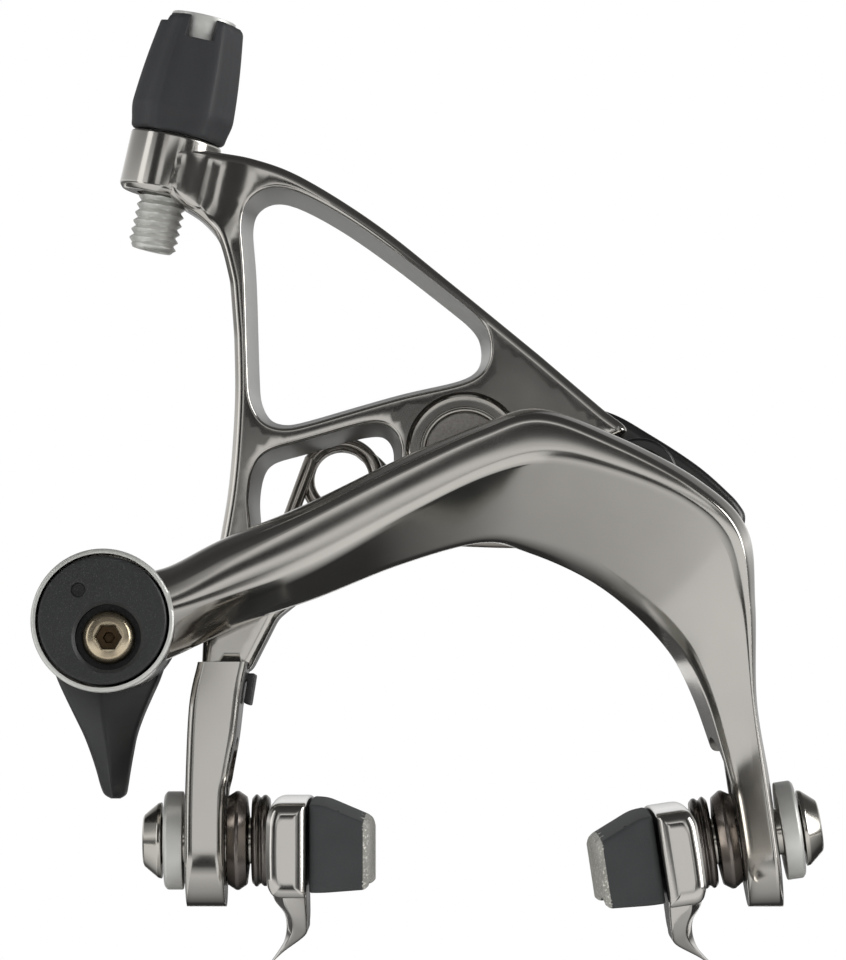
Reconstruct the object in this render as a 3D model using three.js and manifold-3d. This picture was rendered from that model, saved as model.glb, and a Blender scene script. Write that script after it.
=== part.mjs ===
// Dual-pivot rim brake caliper, in millimetres, +Z up.
// The caliper's front faces -Y, and the rim runs along Y between the two pads.
// The origin is on the centre bolt's axis, in the plane of the face that sits on the fork crown.
import * as THREE from "three";
import { mergeVertices } from "three/addons/utils/BufferGeometryUtils.js";
import Module from "manifold-3d";

const wasm = await Module();
wasm.setup();

const GAP = 0.3; // running clearance between neighbouring pieces
const ROUND = 28; // sides of a round piece
const degrees = Math.PI / 180;

// Layers from the crown face (Y = 0) forward.
const CROWN_WASHER_DEPTH = 2.3;
const BRIDGE_BACK = -CROWN_WASHER_DEPTH - GAP;
const BRIDGE_FRONT = BRIDGE_BACK - 4.4;
const THRUST_WASHER_DEPTH = 0.6;
const REAR_ARM_BACK = BRIDGE_FRONT - THRUST_WASHER_DEPTH - 2 * GAP;
const REAR_ARM_FRONT = -18;
const FRONT_ARM_BACK = REAR_ARM_FRONT - 1;
const FRONT_ARM_FRONT = -31;

// Pivots, in X and Z.
const CENTRE = [0, 0];
const SIDE_PIVOT = [20.2, -3];

// Brake pads and the legs that carry them.
const PAD_BOLT_Y = -16;
const LEFT_PAD = { x: -30, z: -45.15, lean: 0 };
const RIGHT_PAD = { x: 33.9, z: -44.5, lean: 8.6 * degrees };
const LEG_BOTTOM = -52.8;
const LEG_HALF = 2.35; // half the leg's thickness between its washers
const OUTER_WASHER_RADIUS = 5.7;

// Cable adjuster, on an axis that leans to the right as it rises.
const ADJUSTER_FOOT = [-36.8, -13, 23.9];
const ADJUSTER_LEAN = 12.7 * degrees;

// Quick-release eye at the front arm's cable end.
const EYE = [-41.25, -20.1];
const ANCHOR = [-40.6, -22.0]; // eccentric axis of the cable anchor

// Geometry helpers.

function signedVolume(geometry) {
  const position = geometry.attributes.position;
  const index = geometry.index.array;
  const [a, b, c] = [new THREE.Vector3(), new THREE.Vector3(), new THREE.Vector3()];
  let total = 0;
  for (let i = 0; i < index.length; i += 3) {
    a.fromBufferAttribute(position, index[i]);
    b.fromBufferAttribute(position, index[i + 1]);
    c.fromBufferAttribute(position, index[i + 2]);
    total += a.dot(b.cross(c)) / 6;
  }
  return total;
}

// One closed surface: shared vertices merged, slivers dropped and every face pointing out.
function closed(geometry) {
  const bare = new THREE.BufferGeometry();
  bare.setAttribute("position", geometry.attributes.position.clone());
  bare.setIndex(geometry.index);
  const merged = mergeVertices(bare, 1e-4);
  const corners = merged.index.array;
  const kept = [];
  for (let i = 0; i < corners.length; i += 3) {
    const [a, b, c] = [corners[i], corners[i + 1], corners[i + 2]];
    if (a !== b && b !== c && c !== a) kept.push(a, b, c);
  }
  merged.setIndex(kept);
  if (signedVolume(merged) < 0) merged.setIndex(kept.reverse());
  return merged;
}

function toManifold(geometry) {
  const surface = closed(geometry);
  const vertProperties = Float32Array.from(surface.attributes.position.array);
  const triVerts = Uint32Array.from(surface.index.array);
  return new wasm.Manifold(new wasm.Mesh({ numProp: 3, vertProperties, triVerts }));
}

function fromManifold(manifold) {
  const mesh = manifold.getMesh();
  const geometry = new THREE.BufferGeometry();
  geometry.setAttribute("position", new THREE.BufferAttribute(mesh.vertProperties, 3));
  geometry.setIndex(new THREE.BufferAttribute(mesh.triVerts, 1));
  return geometry;
}

function join(first, ...others) {
  return fromManifold(others.reduce((sum, piece) => sum.add(toManifold(piece)), toManifold(first)));
}

function cut(first, ...tools) {
  return fromManifold(tools.reduce((rest, tool) => rest.subtract(toManifold(tool)), toManifold(first)));
}

function common(first, second) {
  return fromManifold(toManifold(first).intersect(toManifold(second)));
}

// Points of a smooth curve through the given [x, z] pairs.
function smooth(pairs, divisions) {
  const curve = new THREE.SplineCurve(pairs.map(([x, z]) => new THREE.Vector2(x, z)));
  return curve.getPoints(divisions);
}

function arc([x, z], radius, from, to, divisions) {
  const curve = new THREE.EllipseCurve(x, z, radius, radius, from * degrees, to * degrees, to < from);
  return curve.getPoints(divisions);
}

const corner = (pairs) => pairs.map(([x, z]) => new THREE.Vector2(x, z));

// A plate whose outline lies in the XZ plane, from yBack forward to yFront.
function plate(outline, yBack, yFront, { holes = [], chamfer = 0 } = {}) {
  const shape = new THREE.Shape(outline);
  shape.holes = holes.map((hole) => new THREE.Path(hole));
  const geometry = new THREE.ExtrudeGeometry(shape, {
    depth: yBack - yFront - 2 * chamfer,
    bevelEnabled: chamfer > 0,
    bevelSegments: 1,
    bevelThickness: chamfer,
    bevelSize: chamfer,
    bevelOffset: -chamfer,
  });
  return geometry.rotateX(Math.PI / 2).translate(0, yBack - chamfer, 0);
}

// A turned piece on a Y axis through [x, z]. Its profile is [radius, y] pairs.
function turned([x, z], profile, sides = ROUND) {
  const points = profile.map(([radius, y]) => new THREE.Vector2(radius, y));
  return new THREE.LatheGeometry(points, sides).translate(x, 0, z);
}

function disc(axis, radius, yBack, yFront, sides = ROUND) {
  return turned(axis, [[0, yFront], [radius, yFront], [radius, yBack], [0, yBack]], sides);
}

function ring(axis, inner, outer, yBack, yFront, sides = ROUND) {
  const profile = [[inner, yFront], [outer, yFront], [outer, yBack], [inner, yBack], [inner, yFront]];
  return turned(axis, profile, sides);
}

// A skin through rails that run side by side; every rail has one point at each station.
function loft(rails, stations) {
  const lines = rails.map((rail) => {
    const curve = new THREE.CatmullRomCurve3(rail.map(([x, y, z]) => new THREE.Vector3(x, y, z)));
    return Array.from({ length: stations + 1 }, (_, i) => curve.getPoint(i / stations));
  });
  const count = lines.length;
  const positions = [];
  for (let i = 0; i <= stations; i += 1) {
    for (const line of lines) positions.push(line[i].x, line[i].y, line[i].z);
  }
  const index = [];
  for (let i = 0; i < stations; i += 1) {
    for (let j = 0; j < count; j += 1) {
      const a = i * count + j;
      const b = i * count + ((j + 1) % count);
      index.push(a, b, a + count, b, b + count, a + count);
    }
  }
  for (const station of [0, stations]) {
    const centre = positions.length / 3;
    const middle = new THREE.Vector3();
    for (const line of lines) middle.addScaledVector(line[station], 1 / count);
    positions.push(middle.x, middle.y, middle.z);
    for (let j = 0; j < count; j += 1) {
      const a = station * count + j;
      const b = station * count + ((j + 1) % count);
      if (station === 0) index.push(centre, b, a);
      else index.push(centre, a, b);
    }
  }
  const geometry = new THREE.BufferGeometry();
  geometry.setAttribute("position", new THREE.Float32BufferAttribute(positions, 3));
  geometry.setIndex(index);
  return geometry;
}

// Materials.

const finish = (color, roughness, metalness) =>
  new THREE.MeshStandardMaterial({ color, roughness, metalness });
const anodised = finish(0x84868c, 0.25, 1);
const satinAluminium = finish(0xc9cbcf, 0.4, 1);
const blackPlastic = finish(0x17181a, 0.55, 0);
const blackRubber = finish(0x1d1d1f, 0.8, 0);
const steel = finish(0xb9bcc0, 0.3, 1);
const champagneSteel = finish(0xc8b084, 0.3, 1);
const darkNickel = finish(0x4a4b50, 0.35, 1);
const bronze = finish(0x9c7a45, 0.45, 1);
const springSteel = finish(0xd0d3d8, 0.2, 1);

const caliper = new THREE.Group();

function add(parent, name, geometry, material) {
  const mesh = new THREE.Mesh(closed(geometry), material);
  mesh.name = name;
  parent.add(mesh);
}

// Mounting and centre pivot.

const STUD_RADIUS = 3;
const STUD_LENGTH = 24; // behind the crown face
const BOLT_HEAD_RADIUS = 5.3;
const HEAD_RECESS_RADIUS = 6.4;
const HEAD_FRONT = REAR_ARM_FRONT + 1.4;
const RECESS_FLOOR = REAR_ARM_FRONT + 3.4;
const BUSH_RADIUS = 4.9;
const CENTRE_BOSS_RADIUS = 7;

function centreBolt() {
  const neck = 0.4;
  return turned(CENTRE, [
    [0, HEAD_FRONT],
    [BOLT_HEAD_RADIUS - neck, HEAD_FRONT],
    [BOLT_HEAD_RADIUS, HEAD_FRONT + neck],
    [BOLT_HEAD_RADIUS, RECESS_FLOOR - GAP],
    [STUD_RADIUS, RECESS_FLOOR - GAP],
    [STUD_RADIUS, STUD_LENGTH - 0.8],
    [STUD_RADIUS - 0.8, STUD_LENGTH],
    [0, STUD_LENGTH],
  ]);
}

// Radial teeth on the washer's crown side are shallow, so the mating face stays flat here.
function crownWasher() {
  return ring(CENTRE, STUD_RADIUS + GAP, CENTRE_BOSS_RADIUS - 0.3, 0, -CROWN_WASHER_DEPTH);
}

function thrustWasher(axis, inner, outer) {
  return ring(axis, inner, outer, BRIDGE_FRONT - GAP, BRIDGE_FRONT - GAP - THRUST_WASHER_DEPTH);
}

function centreBush() {
  return ring(CENTRE, STUD_RADIUS + GAP, BUSH_RADIUS, REAR_ARM_BACK - 0.2, RECESS_FLOOR + 0.2);
}

// Bridge that joins the two pivots.

const SIDE_BOSS_RADIUS = 4.5;
const SIDE_BUSH_RADIUS = 3.3;
const SIDE_BOLT_RADIUS = 2.3;
const SIDE_HEAD_RADIUS = 3.9;
const SIDE_HEAD_DEPTH = 1.9;
const SIDE_BOLT_TIP = FRONT_ARM_BACK - 8;

function bridgeOutline() {
  return [
    ...arc(CENTRE, CENTRE_BOSS_RADIUS, 250, 90, 12),
    ...smooth([[9, 6.9], [16.6, 5.5], [21.9, 2.7], [27.8, -1.2], [32, -5]], 10),
    ...smooth([[33.2, -6.7], [32.8, -8.6], [30.6, -9.6], [26, -9.2]], 5),
    ...smooth([[19, -8.4], [10, -7.7], [4, -7.2]], 4),
  ];
}

function rearBridge() {
  const body = plate(bridgeOutline(), BRIDGE_BACK, BRIDGE_FRONT, { chamfer: 0.5 });
  const sideBoss = disc(SIDE_PIVOT, SIDE_BOSS_RADIUS, BRIDGE_BACK - 1, FRONT_ARM_BACK + GAP);
  return cut(
    join(body, sideBoss),
    disc(CENTRE, STUD_RADIUS + GAP, 1, -20),
    disc(SIDE_PIVOT, SIDE_BUSH_RADIUS + GAP / 2, 1, -20),
    disc(SIDE_PIVOT, SIDE_HEAD_RADIUS + GAP, 1, BRIDGE_BACK - SIDE_HEAD_DEPTH - GAP),
  );
}

function sidePivotBolt() {
  return turned(SIDE_PIVOT, [
    [0, SIDE_BOLT_TIP],
    [SIDE_BOLT_RADIUS, SIDE_BOLT_TIP],
    [SIDE_BOLT_RADIUS, BRIDGE_BACK - SIDE_HEAD_DEPTH],
    [SIDE_HEAD_RADIUS, BRIDGE_BACK - SIDE_HEAD_DEPTH],
    [SIDE_HEAD_RADIUS, BRIDGE_BACK],
    [1.5, BRIDGE_BACK],
    [1.5, BRIDGE_BACK - 1.4],
    [0, BRIDGE_BACK - 1.4],
  ]);
}

function sidePivotBush() {
  const back = BRIDGE_BACK - SIDE_HEAD_DEPTH - 2 * GAP;
  return ring(SIDE_PIVOT, SIDE_BOLT_RADIUS + GAP, SIDE_BUSH_RADIUS - GAP / 2, back, FRONT_ARM_BACK + GAP);
}

// Rear arm: cable adjuster boss, two windows and the left leg.

const LEG_FRONT = -23;
const LEG_BACK = -9;
const LEG_EDGE = 0.7;
const BOSS_RADIUS = 5;
const BOSS_FOOT = 6.4; // along the adjuster axis
const BOSS_TOP = 12.6;
const THREAD_RADIUS = 2.9;
const SLOT_RADIUS = 3.3;
const SLOT_UP = 6;
const SLOT_DOWN = 2;

function rearArmOutline() {
  return [
    ...smooth([[-37.6, 30.4], [-33.6, 29.2], [-30.8, 27.9], [-28.6, 25.1], [-27.3, 19.9]], 9),
    ...smooth([[-26.9, 13.5], [-26.8, 5.9], [-27.4, -3.3], [-28.6, -11], [-30.4, -21]], 8),
    ...corner([[-30.6, -25.9], [-26.4, -25.9], [-24.9, -25.3]]),
    ...smooth([[-21.8, -19.2], [-17, -15.6], [-10, -11.6], [-4, -9.5]], 7),
    ...smooth([[1, -9], [4.6, -7.6], [7.2, -5.6]], 4),
    ...corner([[8.4, -4.5], [12.6, -4.4]]), // the equaliser roller pushes here
    ...smooth([[14.2, -3], [15.4, -0.8], [16.8, 1]], 3),
    ...corner([[19, 2.3], [18.5, 3.1], [16.4, 4.6]]),
    ...smooth([[8.7, 11.2], [-1.8, 19.8], [-10.5, 26.7], [-19.1, 32.1], [-24.9, 34.3], [-29.3, 34.8]], 14),
    ...corner([[-33.8, 35.6], [-36.4, 34.8]]),
  ];
}

function upperWindow() {
  return [
    ...smooth([[-25.3, 11.7], [-25.6, 20.9], [-26.1, 26.5]], 4),
    ...smooth([[-25.7, 28.9], [-23.6, 30.6], [-20.3, 30.6], [-14.5, 27.7], [-7.6, 22.9], [1.2, 16]], 11),
    ...smooth([[2.7, 14.2], [2.9, 10.6], [0.6, 8.2], [-7.6, 6.2], [-18, 3.2]], 10),
    ...smooth([[-20.8, 2.5], [-23.6, 3.3], [-25.1, 6.2]], 4),
  ];
}

function lowerWindow() {
  return [
    ...smooth([[-25.2, -6], [-24.8, -2.6], [-23.4, -0.2], [-19.1, 1.1], [-12.2, 3.1]], 8),
    ...smooth([[-9.4, 3.4], [-7.7, 1.8], [-7.4, -1.2], [-9, -5.4], [-14, -9.4]], 8),
    ...smooth([[-18, -11.6], [-22, -13], [-24.6, -11.6]], 4),
  ];
}

function leftLegOutline() {
  return [
    ...smooth([[-30.9, -25], [-31.8, -29.5], [-32.2, -38], [-32.3, -46], [-32.2, -51.9]], 9),
    ...corner([[-31.4, LEG_BOTTOM], [-28.6, LEG_BOTTOM], [-27.7, -52]]),
    ...smooth([[-27.7, -39], [-27.1, -37.6], [-26.3, -33], [-25.8, -28], [-25.2, -25.4]], 9),
  ];
}

// The slot that a pad bolt slides in, cut through the leg from side to side.
function padSlot(pad) {
  const shape = new THREE.Shape([
    ...arc([0, SLOT_UP], SLOT_RADIUS, 0, 180, 10),
    ...arc([0, -SLOT_DOWN], SLOT_RADIUS, 180, 360, 10),
  ]);
  const length = 16;
  const slot = new THREE.ExtrudeGeometry(shape, { depth: length, bevelEnabled: false });
  slot.translate(0, 0, -length / 2).rotateX(Math.PI / 2).rotateZ(Math.PI / 2);
  return slot.rotateY(-pad.lean).translate(pad.x, PAD_BOLT_Y, pad.z);
}

// The flat that a leg's inner washer slides on, sunk behind a thin lip at the leg's front.
function seatPocket(pad, facing) {
  const [depth, front, back] = [6, PAD_BOLT_Y - OUTER_WASHER_RADIUS - GAP, LEG_BACK + 3];
  const [low, high] = [-9, SLOT_UP + OUTER_WASHER_RADIUS + GAP];
  const pocket = new THREE.BoxGeometry(depth, back - front, high - low);
  pocket.translate(facing * (LEG_HALF + depth / 2), (front + back) / 2, (low + high) / 2);
  return pocket.rotateY(-pad.lean).translate(pad.x, 0, pad.z);
}

// A piece on the adjuster axis. Its profile is [radius, distance from the adjuster's foot] pairs.
function onAdjuster(profile, sides = ROUND) {
  const points = profile.map(([radius, height]) => new THREE.Vector2(radius, height));
  const geometry = new THREE.LatheGeometry(points, sides).rotateX(Math.PI / 2);
  return geometry.rotateY(ADJUSTER_LEAN).translate(...ADJUSTER_FOOT);
}

// The leg's side view narrows to a round foot.
function legSideView() {
  const middle = (LEG_FRONT + LEG_BACK) / 2;
  const half = (LEG_BACK - LEG_FRONT) / 2;
  const shape = new THREE.Shape([
    ...corner([[middle + half, -20], [middle - half, -20]]),
    ...arc([middle, LEG_BOTTOM + half], half, 180, 360, 14),
  ]);
  const side = new THREE.ExtrudeGeometry(shape, { depth: 20, bevelEnabled: false });
  return side.rotateX(Math.PI / 2).rotateZ(Math.PI / 2).translate(-38, 0, 0);
}

function rearArm() {
  const holes = [upperWindow(), lowerWindow()];
  const body = plate(rearArmOutline(), REAR_ARM_BACK, REAR_ARM_FRONT, { holes });
  const leg = common(plate(leftLegOutline(), LEG_BACK, LEG_FRONT, { chamfer: LEG_EDGE }), legSideView());
  const boss = onAdjuster([[0, BOSS_FOOT], [BOSS_RADIUS, BOSS_FOOT], [BOSS_RADIUS, BOSS_TOP], [0, BOSS_TOP]]);
  const bore = THREAD_RADIUS + GAP;
  return cut(
    join(body, leg, boss),
    onAdjuster([[0, 0], [bore, 0], [bore, 20], [0, 20]]),
    disc(CENTRE, BUSH_RADIUS + GAP, 0, -20),
    disc(CENTRE, HEAD_RECESS_RADIUS, RECESS_FLOOR, -20),
    padSlot(LEFT_PAD),
    seatPocket(LEFT_PAD, 1),
  );
}

// Cable adjuster.

const ADJUSTER_TOP = 27.7;
const GRIP_FOOT = BOSS_TOP + 1.1;
const GRIP_FOOT_RADIUS = 6.3;
const GRIP_TOP_RADIUS = 4.9;
const GRIP_BORE = 4.1;
const GRIP_FLUTES = 9;
const CABLE_RADIUS = 1.1;
const HOUSING_RADIUS = 2.6;
const FERRULE_SEAT = 21;

function adjusterBarrel() {
  const head = GRIP_BORE - GAP;
  return onAdjuster([
    [CABLE_RADIUS, 0],
    [THREAD_RADIUS - 0.5, 0],
    [THREAD_RADIUS, 0.5],
    [THREAD_RADIUS, GRIP_FOOT],
    [head, GRIP_FOOT],
    [head, FERRULE_SEAT - GAP],
    [CABLE_RADIUS, FERRULE_SEAT - GAP],
    [CABLE_RADIUS, 0],
  ]);
}

function detentRing() {
  const [inner, outer] = [THREAD_RADIUS + GAP, BOSS_RADIUS - 0.4];
  const [low, high] = [BOSS_TOP + GAP, GRIP_FOOT - GAP];
  return onAdjuster([[inner, low], [outer, low], [outer, high], [inner, high], [inner, low]]);
}

function adjusterGrip() {
  const taper = (GRIP_TOP_RADIUS - GRIP_FOOT_RADIUS) / (ADJUSTER_TOP - GRIP_FOOT);
  const radiusAt = (height) => GRIP_FOOT_RADIUS + taper * (height - GRIP_FOOT);
  const body = onAdjuster([
    [GRIP_BORE, GRIP_FOOT],
    [GRIP_FOOT_RADIUS - 0.8, GRIP_FOOT],
    [radiusAt(GRIP_FOOT + 1), GRIP_FOOT + 1],
    [radiusAt(ADJUSTER_TOP - 0.6), ADJUSTER_TOP - 0.6],
    [radiusAt(ADJUSTER_TOP) - 0.6, ADJUSTER_TOP],
    [GRIP_BORE, ADJUSTER_TOP],
    [GRIP_BORE, GRIP_FOOT],
  ], 36);
  const flute = (i) => {
    const angle = (i / GRIP_FLUTES) * 2 * Math.PI;
    const groove = new THREE.CylinderGeometry(1.3, 1.3, 22, 10).rotateX(Math.PI / 2);
    groove.rotateY(Math.atan(taper)).translate(GRIP_FOOT_RADIUS + 0.35, 0, GRIP_FOOT + 1.2 + 11);
    return groove.rotateZ(angle).rotateY(ADJUSTER_LEAN).translate(...ADJUSTER_FOOT);
  };
  const flutes = Array.from({ length: GRIP_FLUTES }, (_, i) => flute(i));
  return cut(body, ...flutes);
}

function housingFerrule() {
  const [body, flare] = [3.6, GRIP_BORE - GAP];
  return onAdjuster([
    [CABLE_RADIUS, FERRULE_SEAT],
    [body, FERRULE_SEAT],
    [body, ADJUSTER_TOP - 1.4],
    [flare, ADJUSTER_TOP - 0.5],
    [flare, ADJUSTER_TOP + 0.4],
    [HOUSING_RADIUS, ADJUSTER_TOP + 0.4],
    [HOUSING_RADIUS, FERRULE_SEAT + 1.2],
    [CABLE_RADIUS, FERRULE_SEAT + 1.2],
    [CABLE_RADIUS, FERRULE_SEAT],
  ]);
}

// Front arm.

const EYE_RADIUS = 8.2;
const CAM_RADIUS = 7.35;
const EYE_BACK = FRONT_ARM_BACK - 1.2;
// The roller that carries the front arm's push to the rear arm's tail.
const EQUALISER = [10.6, -6.6];
const EQUALISER_RADIUS = 1.5;
const EQUALISER_SHANK = 1.2;

// Stations run from the eye, over the top of the arch and down the right leg to its foot.
const topBack = [
  [-38, -20.6, -15], [-34, -20.6, -13.9], [-28, -19.2, -10.8], [-18.9, -19, -6.9], [-7.5, -19, -1.4],
  [1.7, -19, 2.5], [8.5, -19, 4.3], [17.7, -19, 1], [26.8, -19, -3.9], [32.1, -17, -9.6],
  [33.1, -13.5, -18], [33.4, -12, -29], [34.9, -11, -38.2], [36.2, -10.5, -47.4], [36.7, -10.5, LEG_BOTTOM],
];
const topFront = [
  [-38, -27, -14.4], [-34, -27, -13.6], [-28, -27.4, -10.6], [-18.9, -27.6, -6.9], [-7.5, -27.6, -1.4],
  [1.7, -27.6, 2.5], [8.5, -27.6, 4.3], [17.7, -27.6, 1], [26.8, -27.6, -3.9], [32.3, -27, -9.4],
  [33.3, -25.5, -18], [33.5, -24, -29], [35, -22.8, -38.2], [36.3, -22, -47.4], [36.8, -21.6, LEG_BOTTOM],
];
const upperRidge = [
  [-38, -30.2, -16.4], [-34, -30.4, -15.3], [-27.5, -30.8, -12.2], [-18.4, -31, -8.1], [-7.4, -31, -2.7],
  [1.9, -31, 1.5], [8.7, -31, 3.3], [17.2, -31, 0.2], [26.1, -30.8, -4.8], [31.2, -30, -10],
  [32.6, -28, -18], [33.1, -26.2, -29], [34.5, -24.8, -38.2], [35.8, -24, -47.3], [36.3, -23.5, LEG_BOTTOM],
];
const lowerRidge = [
  [-38, -30.8, -19.8], [-33, -31, -19.4], [-25.5, -31, -17.3], [-17, -31, -14], [-6, -31, -7.7],
  [3, -31, -3.2], [9.6, -31, -1.6], [17, -31, -3.1], [25, -30.8, -6.4], [29.8, -30, -10.8],
  [31.4, -28, -18], [32.6, -26.2, -29], [33.9, -24.8, -38.2], [35.1, -24, -47.2], [35.8, -23.5, LEG_BOTTOM],
];
const lowerFront = [
  [-38, -27, -26.4], [-33, -26, -24], [-25, -23.6, -20.2], [-17, -22, -17.3], [-7.5, -22, -13.5],
  [1.7, -22, -10.9], [7.6, -22, -11.3], [14.2, -22, -13.5], [20.1, -22.4, -17.8], [24.7, -23, -22.6],
  [27.3, -23.6, -27.6], [29.3, -23.8, -34], [30.9, -23.6, -40.4], [32, -23, -47.5], [32.8, -22.6, LEG_BOTTOM],
];
const lowerBack = [
  [-38, -20.6, -26.2], [-33, -20.6, -23.6], [-24.5, -19.1, -19.6], [-17, -19, -17], [-7.5, -19, -13.2],
  [1.7, -19, -10.8], [7.6, -19, -12.2], [14.4, -19, -15.4], [19.6, -19, -19.4], [23.8, -17, -23.9],
  [26.4, -14, -28.6], [28.6, -12, -34.4], [30.8, -11, -40.6], [32, -10.5, -47.5], [32.8, -10.5, LEG_BOTTOM],
];

function frontArm() {
  const body = loft([topBack, topFront, upperRidge, lowerRidge, lowerFront, lowerBack], 42);
  const eye = turned(EYE, [
    [0, FRONT_ARM_FRONT],
    [EYE_RADIUS - 0.4, FRONT_ARM_FRONT],
    [EYE_RADIUS, FRONT_ARM_FRONT + 0.6],
    [EYE_RADIUS, EYE_BACK],
    [0, EYE_BACK],
  ], 40);
  return cut(
    join(body, eye),
    disc(EYE, CAM_RADIUS + GAP, 0, -40, 40),
    disc(SIDE_PIVOT, SIDE_BOLT_RADIUS + GAP, 0, SIDE_BOLT_TIP - GAP),
    disc(EQUALISER, EQUALISER_SHANK + GAP, 0, FRONT_ARM_BACK - 5.3),
    padSlot(RIGHT_PAD),
    seatPocket(RIGHT_PAD, -1),
  );
}

function equaliserRoller() {
  return turned(EQUALISER, [
    [0, FRONT_ARM_BACK - 5],
    [EQUALISER_SHANK, FRONT_ARM_BACK - 5],
    [EQUALISER_SHANK, FRONT_ARM_BACK + GAP],
    [EQUALISER_RADIUS, FRONT_ARM_BACK + GAP],
    [EQUALISER_RADIUS, REAR_ARM_BACK - 1],
    [0, REAR_ARM_BACK - 1],
  ], 20);
}

// Quick release and cable anchor.

const CAM_FRONT = FRONT_ARM_FRONT - 0.3;
const SCREW_HEAD_RADIUS = 3.07;
const SCREW_RECESS_RADIUS = 3.75;
const SCREW_RECESS_DEPTH = 2.4;
const SCREW_SHANK_RADIUS = 2.4;
const CAM_NECK_RADIUS = 5.2;
const LEVER_FRONT = EYE_BACK + 1;
const LEVER_BACK = LEVER_FRONT + 5.2;
const LEVER_HUB_RADIUS = 8.1;
const KEY_RADIUS = 1.25 / Math.cos(30 * degrees); // 2.5 mm hexagon

function releaseCam() {
  const body = turned(EYE, [
    [0, CAM_FRONT],
    [CAM_RADIUS - 0.5, CAM_FRONT],
    [CAM_RADIUS, CAM_FRONT + 0.5],
    [CAM_RADIUS, EYE_BACK - GAP],
    [CAM_NECK_RADIUS, EYE_BACK - GAP],
    [CAM_NECK_RADIUS, LEVER_FRONT - GAP],
    [0, LEVER_FRONT - GAP],
  ], 40);
  return cut(
    body,
    disc(ANCHOR, SCREW_RECESS_RADIUS, CAM_FRONT + SCREW_RECESS_DEPTH, -40, 32),
    disc(ANCHOR, SCREW_SHANK_RADIUS + GAP, 0, -40),
  );
}

function releaseWasher() {
  return ring(EYE, CAM_NECK_RADIUS + GAP, EYE_RADIUS - 0.4, LEVER_FRONT - GAP, EYE_BACK + GAP, 40);
}

function releaseLever() {
  const outline = [
    ...arc(EYE, LEVER_HUB_RADIUS, -50, 230, 22),
    ...smooth([[-45.6, -29.6], [-44.3, -33.4], [-43, -36.6], [-42, -39.2]], 6),
    ...smooth([[-41.5, -40.1], [-40.4, -40.4], [-39.5, -39.9], [-39.3, -38.6]], 4),
    ...smooth([[-39.4, -34.1], [-38.9, -31.6], [-37.6, -28.6]], 4),
  ];
  return cut(
    plate(outline, LEVER_BACK, LEVER_FRONT, { chamfer: 0.8 }),
    disc(ANCHOR, SCREW_SHANK_RADIUS + GAP, 0, -40),
  );
}

const CLAMP_FRONT = LEVER_BACK + GAP;
const CLAMP_BACK = CLAMP_FRONT + 2;
const NUT_RADIUS = 4.6;
const NUT_BACK = CLAMP_BACK + GAP + 3.6;

function anchorScrew() {
  const floor = CAM_FRONT + SCREW_RECESS_DEPTH - GAP;
  const headFront = CAM_FRONT + 0.5;
  const body = turned(ANCHOR, [
    [0, headFront],
    [SCREW_HEAD_RADIUS - 0.35, headFront],
    [SCREW_HEAD_RADIUS, headFront + 0.35],
    [SCREW_HEAD_RADIUS, floor],
    [SCREW_SHANK_RADIUS, floor],
    [SCREW_SHANK_RADIUS, NUT_BACK + 0.6],
    [0, NUT_BACK + 0.6],
  ]);
  return cut(body, disc(ANCHOR, KEY_RADIUS, headFront + 1.2, -40, 6));
}

function cableClampPlate() {
  const [x, z] = ANCHOR;
  const outline = corner([
    [x - 6.2, z - 3.2], [x - 5.2, z - 4.4], [x + 4.4, z - 4.4], [x + 5.2, z - 3.4],
    [x + 5.2, z + 3.4], [x + 4.4, z + 4.4], [x - 5.2, z + 4.4], [x - 6.2, z + 3.2],
  ]);
  return cut(plate(outline, CLAMP_BACK, CLAMP_FRONT), disc(ANCHOR, SCREW_SHANK_RADIUS + GAP, 0, -40));
}

function anchorNut() {
  const front = CLAMP_BACK + GAP;
  return cut(disc(ANCHOR, NUT_RADIUS, NUT_BACK, front, 6), disc(ANCHOR, SCREW_SHANK_RADIUS + GAP, 0, -40));
}

// Return spring and its shoe.

const WIRE_RADIUS = 1.15;
const SPRING_Y = -4.7;
const SHOE_FRONT = -14;

// The wire hooks over the left of the centre boss and passes under the bridge to the front arm.
function returnSpring() {
  const route = [
    [-29.3, SPRING_Y, -25], [-26, SPRING_Y, -16.4], [-22, SPRING_Y, -7.6], [-17.6, SPRING_Y, 0],
    [-14.2, SPRING_Y, 0.8], [-10.6, SPRING_Y, -2.6], [-8.2, SPRING_Y, -6.6], [-4, SPRING_Y, -9.4],
    [3, SPRING_Y, -9.7], [12, SPRING_Y, -10], [20, SPRING_Y - 1, -11.4], [25.2, SPRING_Y - 4.4, -13.6],
    [26.6, SPRING_Y - 8.2, -14.2],
  ];
  const curve = new THREE.CatmullRomCurve3(route.map(([x, y, z]) => new THREE.Vector3(x, y, z)));
  const section = new THREE.Shape(arc([0, 0], WIRE_RADIUS, 0, 360, 8).slice(0, 8));
  return new THREE.ExtrudeGeometry(section, { steps: 40, bevelEnabled: false, extrudePath: curve });
}

function springShoe() {
  const [left, right, low, high] = [-32.9, -24.3, -29.8, -26.3];
  const back = SPRING_Y - WIRE_RADIUS - GAP;
  const block = plate(corner([[left, low], [right, low], [right, high], [left, high]]), back, SHOE_FRONT);
  const channel = plate(
    corner([[left + 0.7, low - 1], [right - 0.7, low - 1], [right - 0.7, high + 1], [left + 0.7, high + 1]]),
    LEG_BACK + GAP, SHOE_FRONT - 1,
  );
  return cut(block, channel);
}

// Brake pad assemblies, built on the bolt axis with +X towards the rim.

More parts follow.
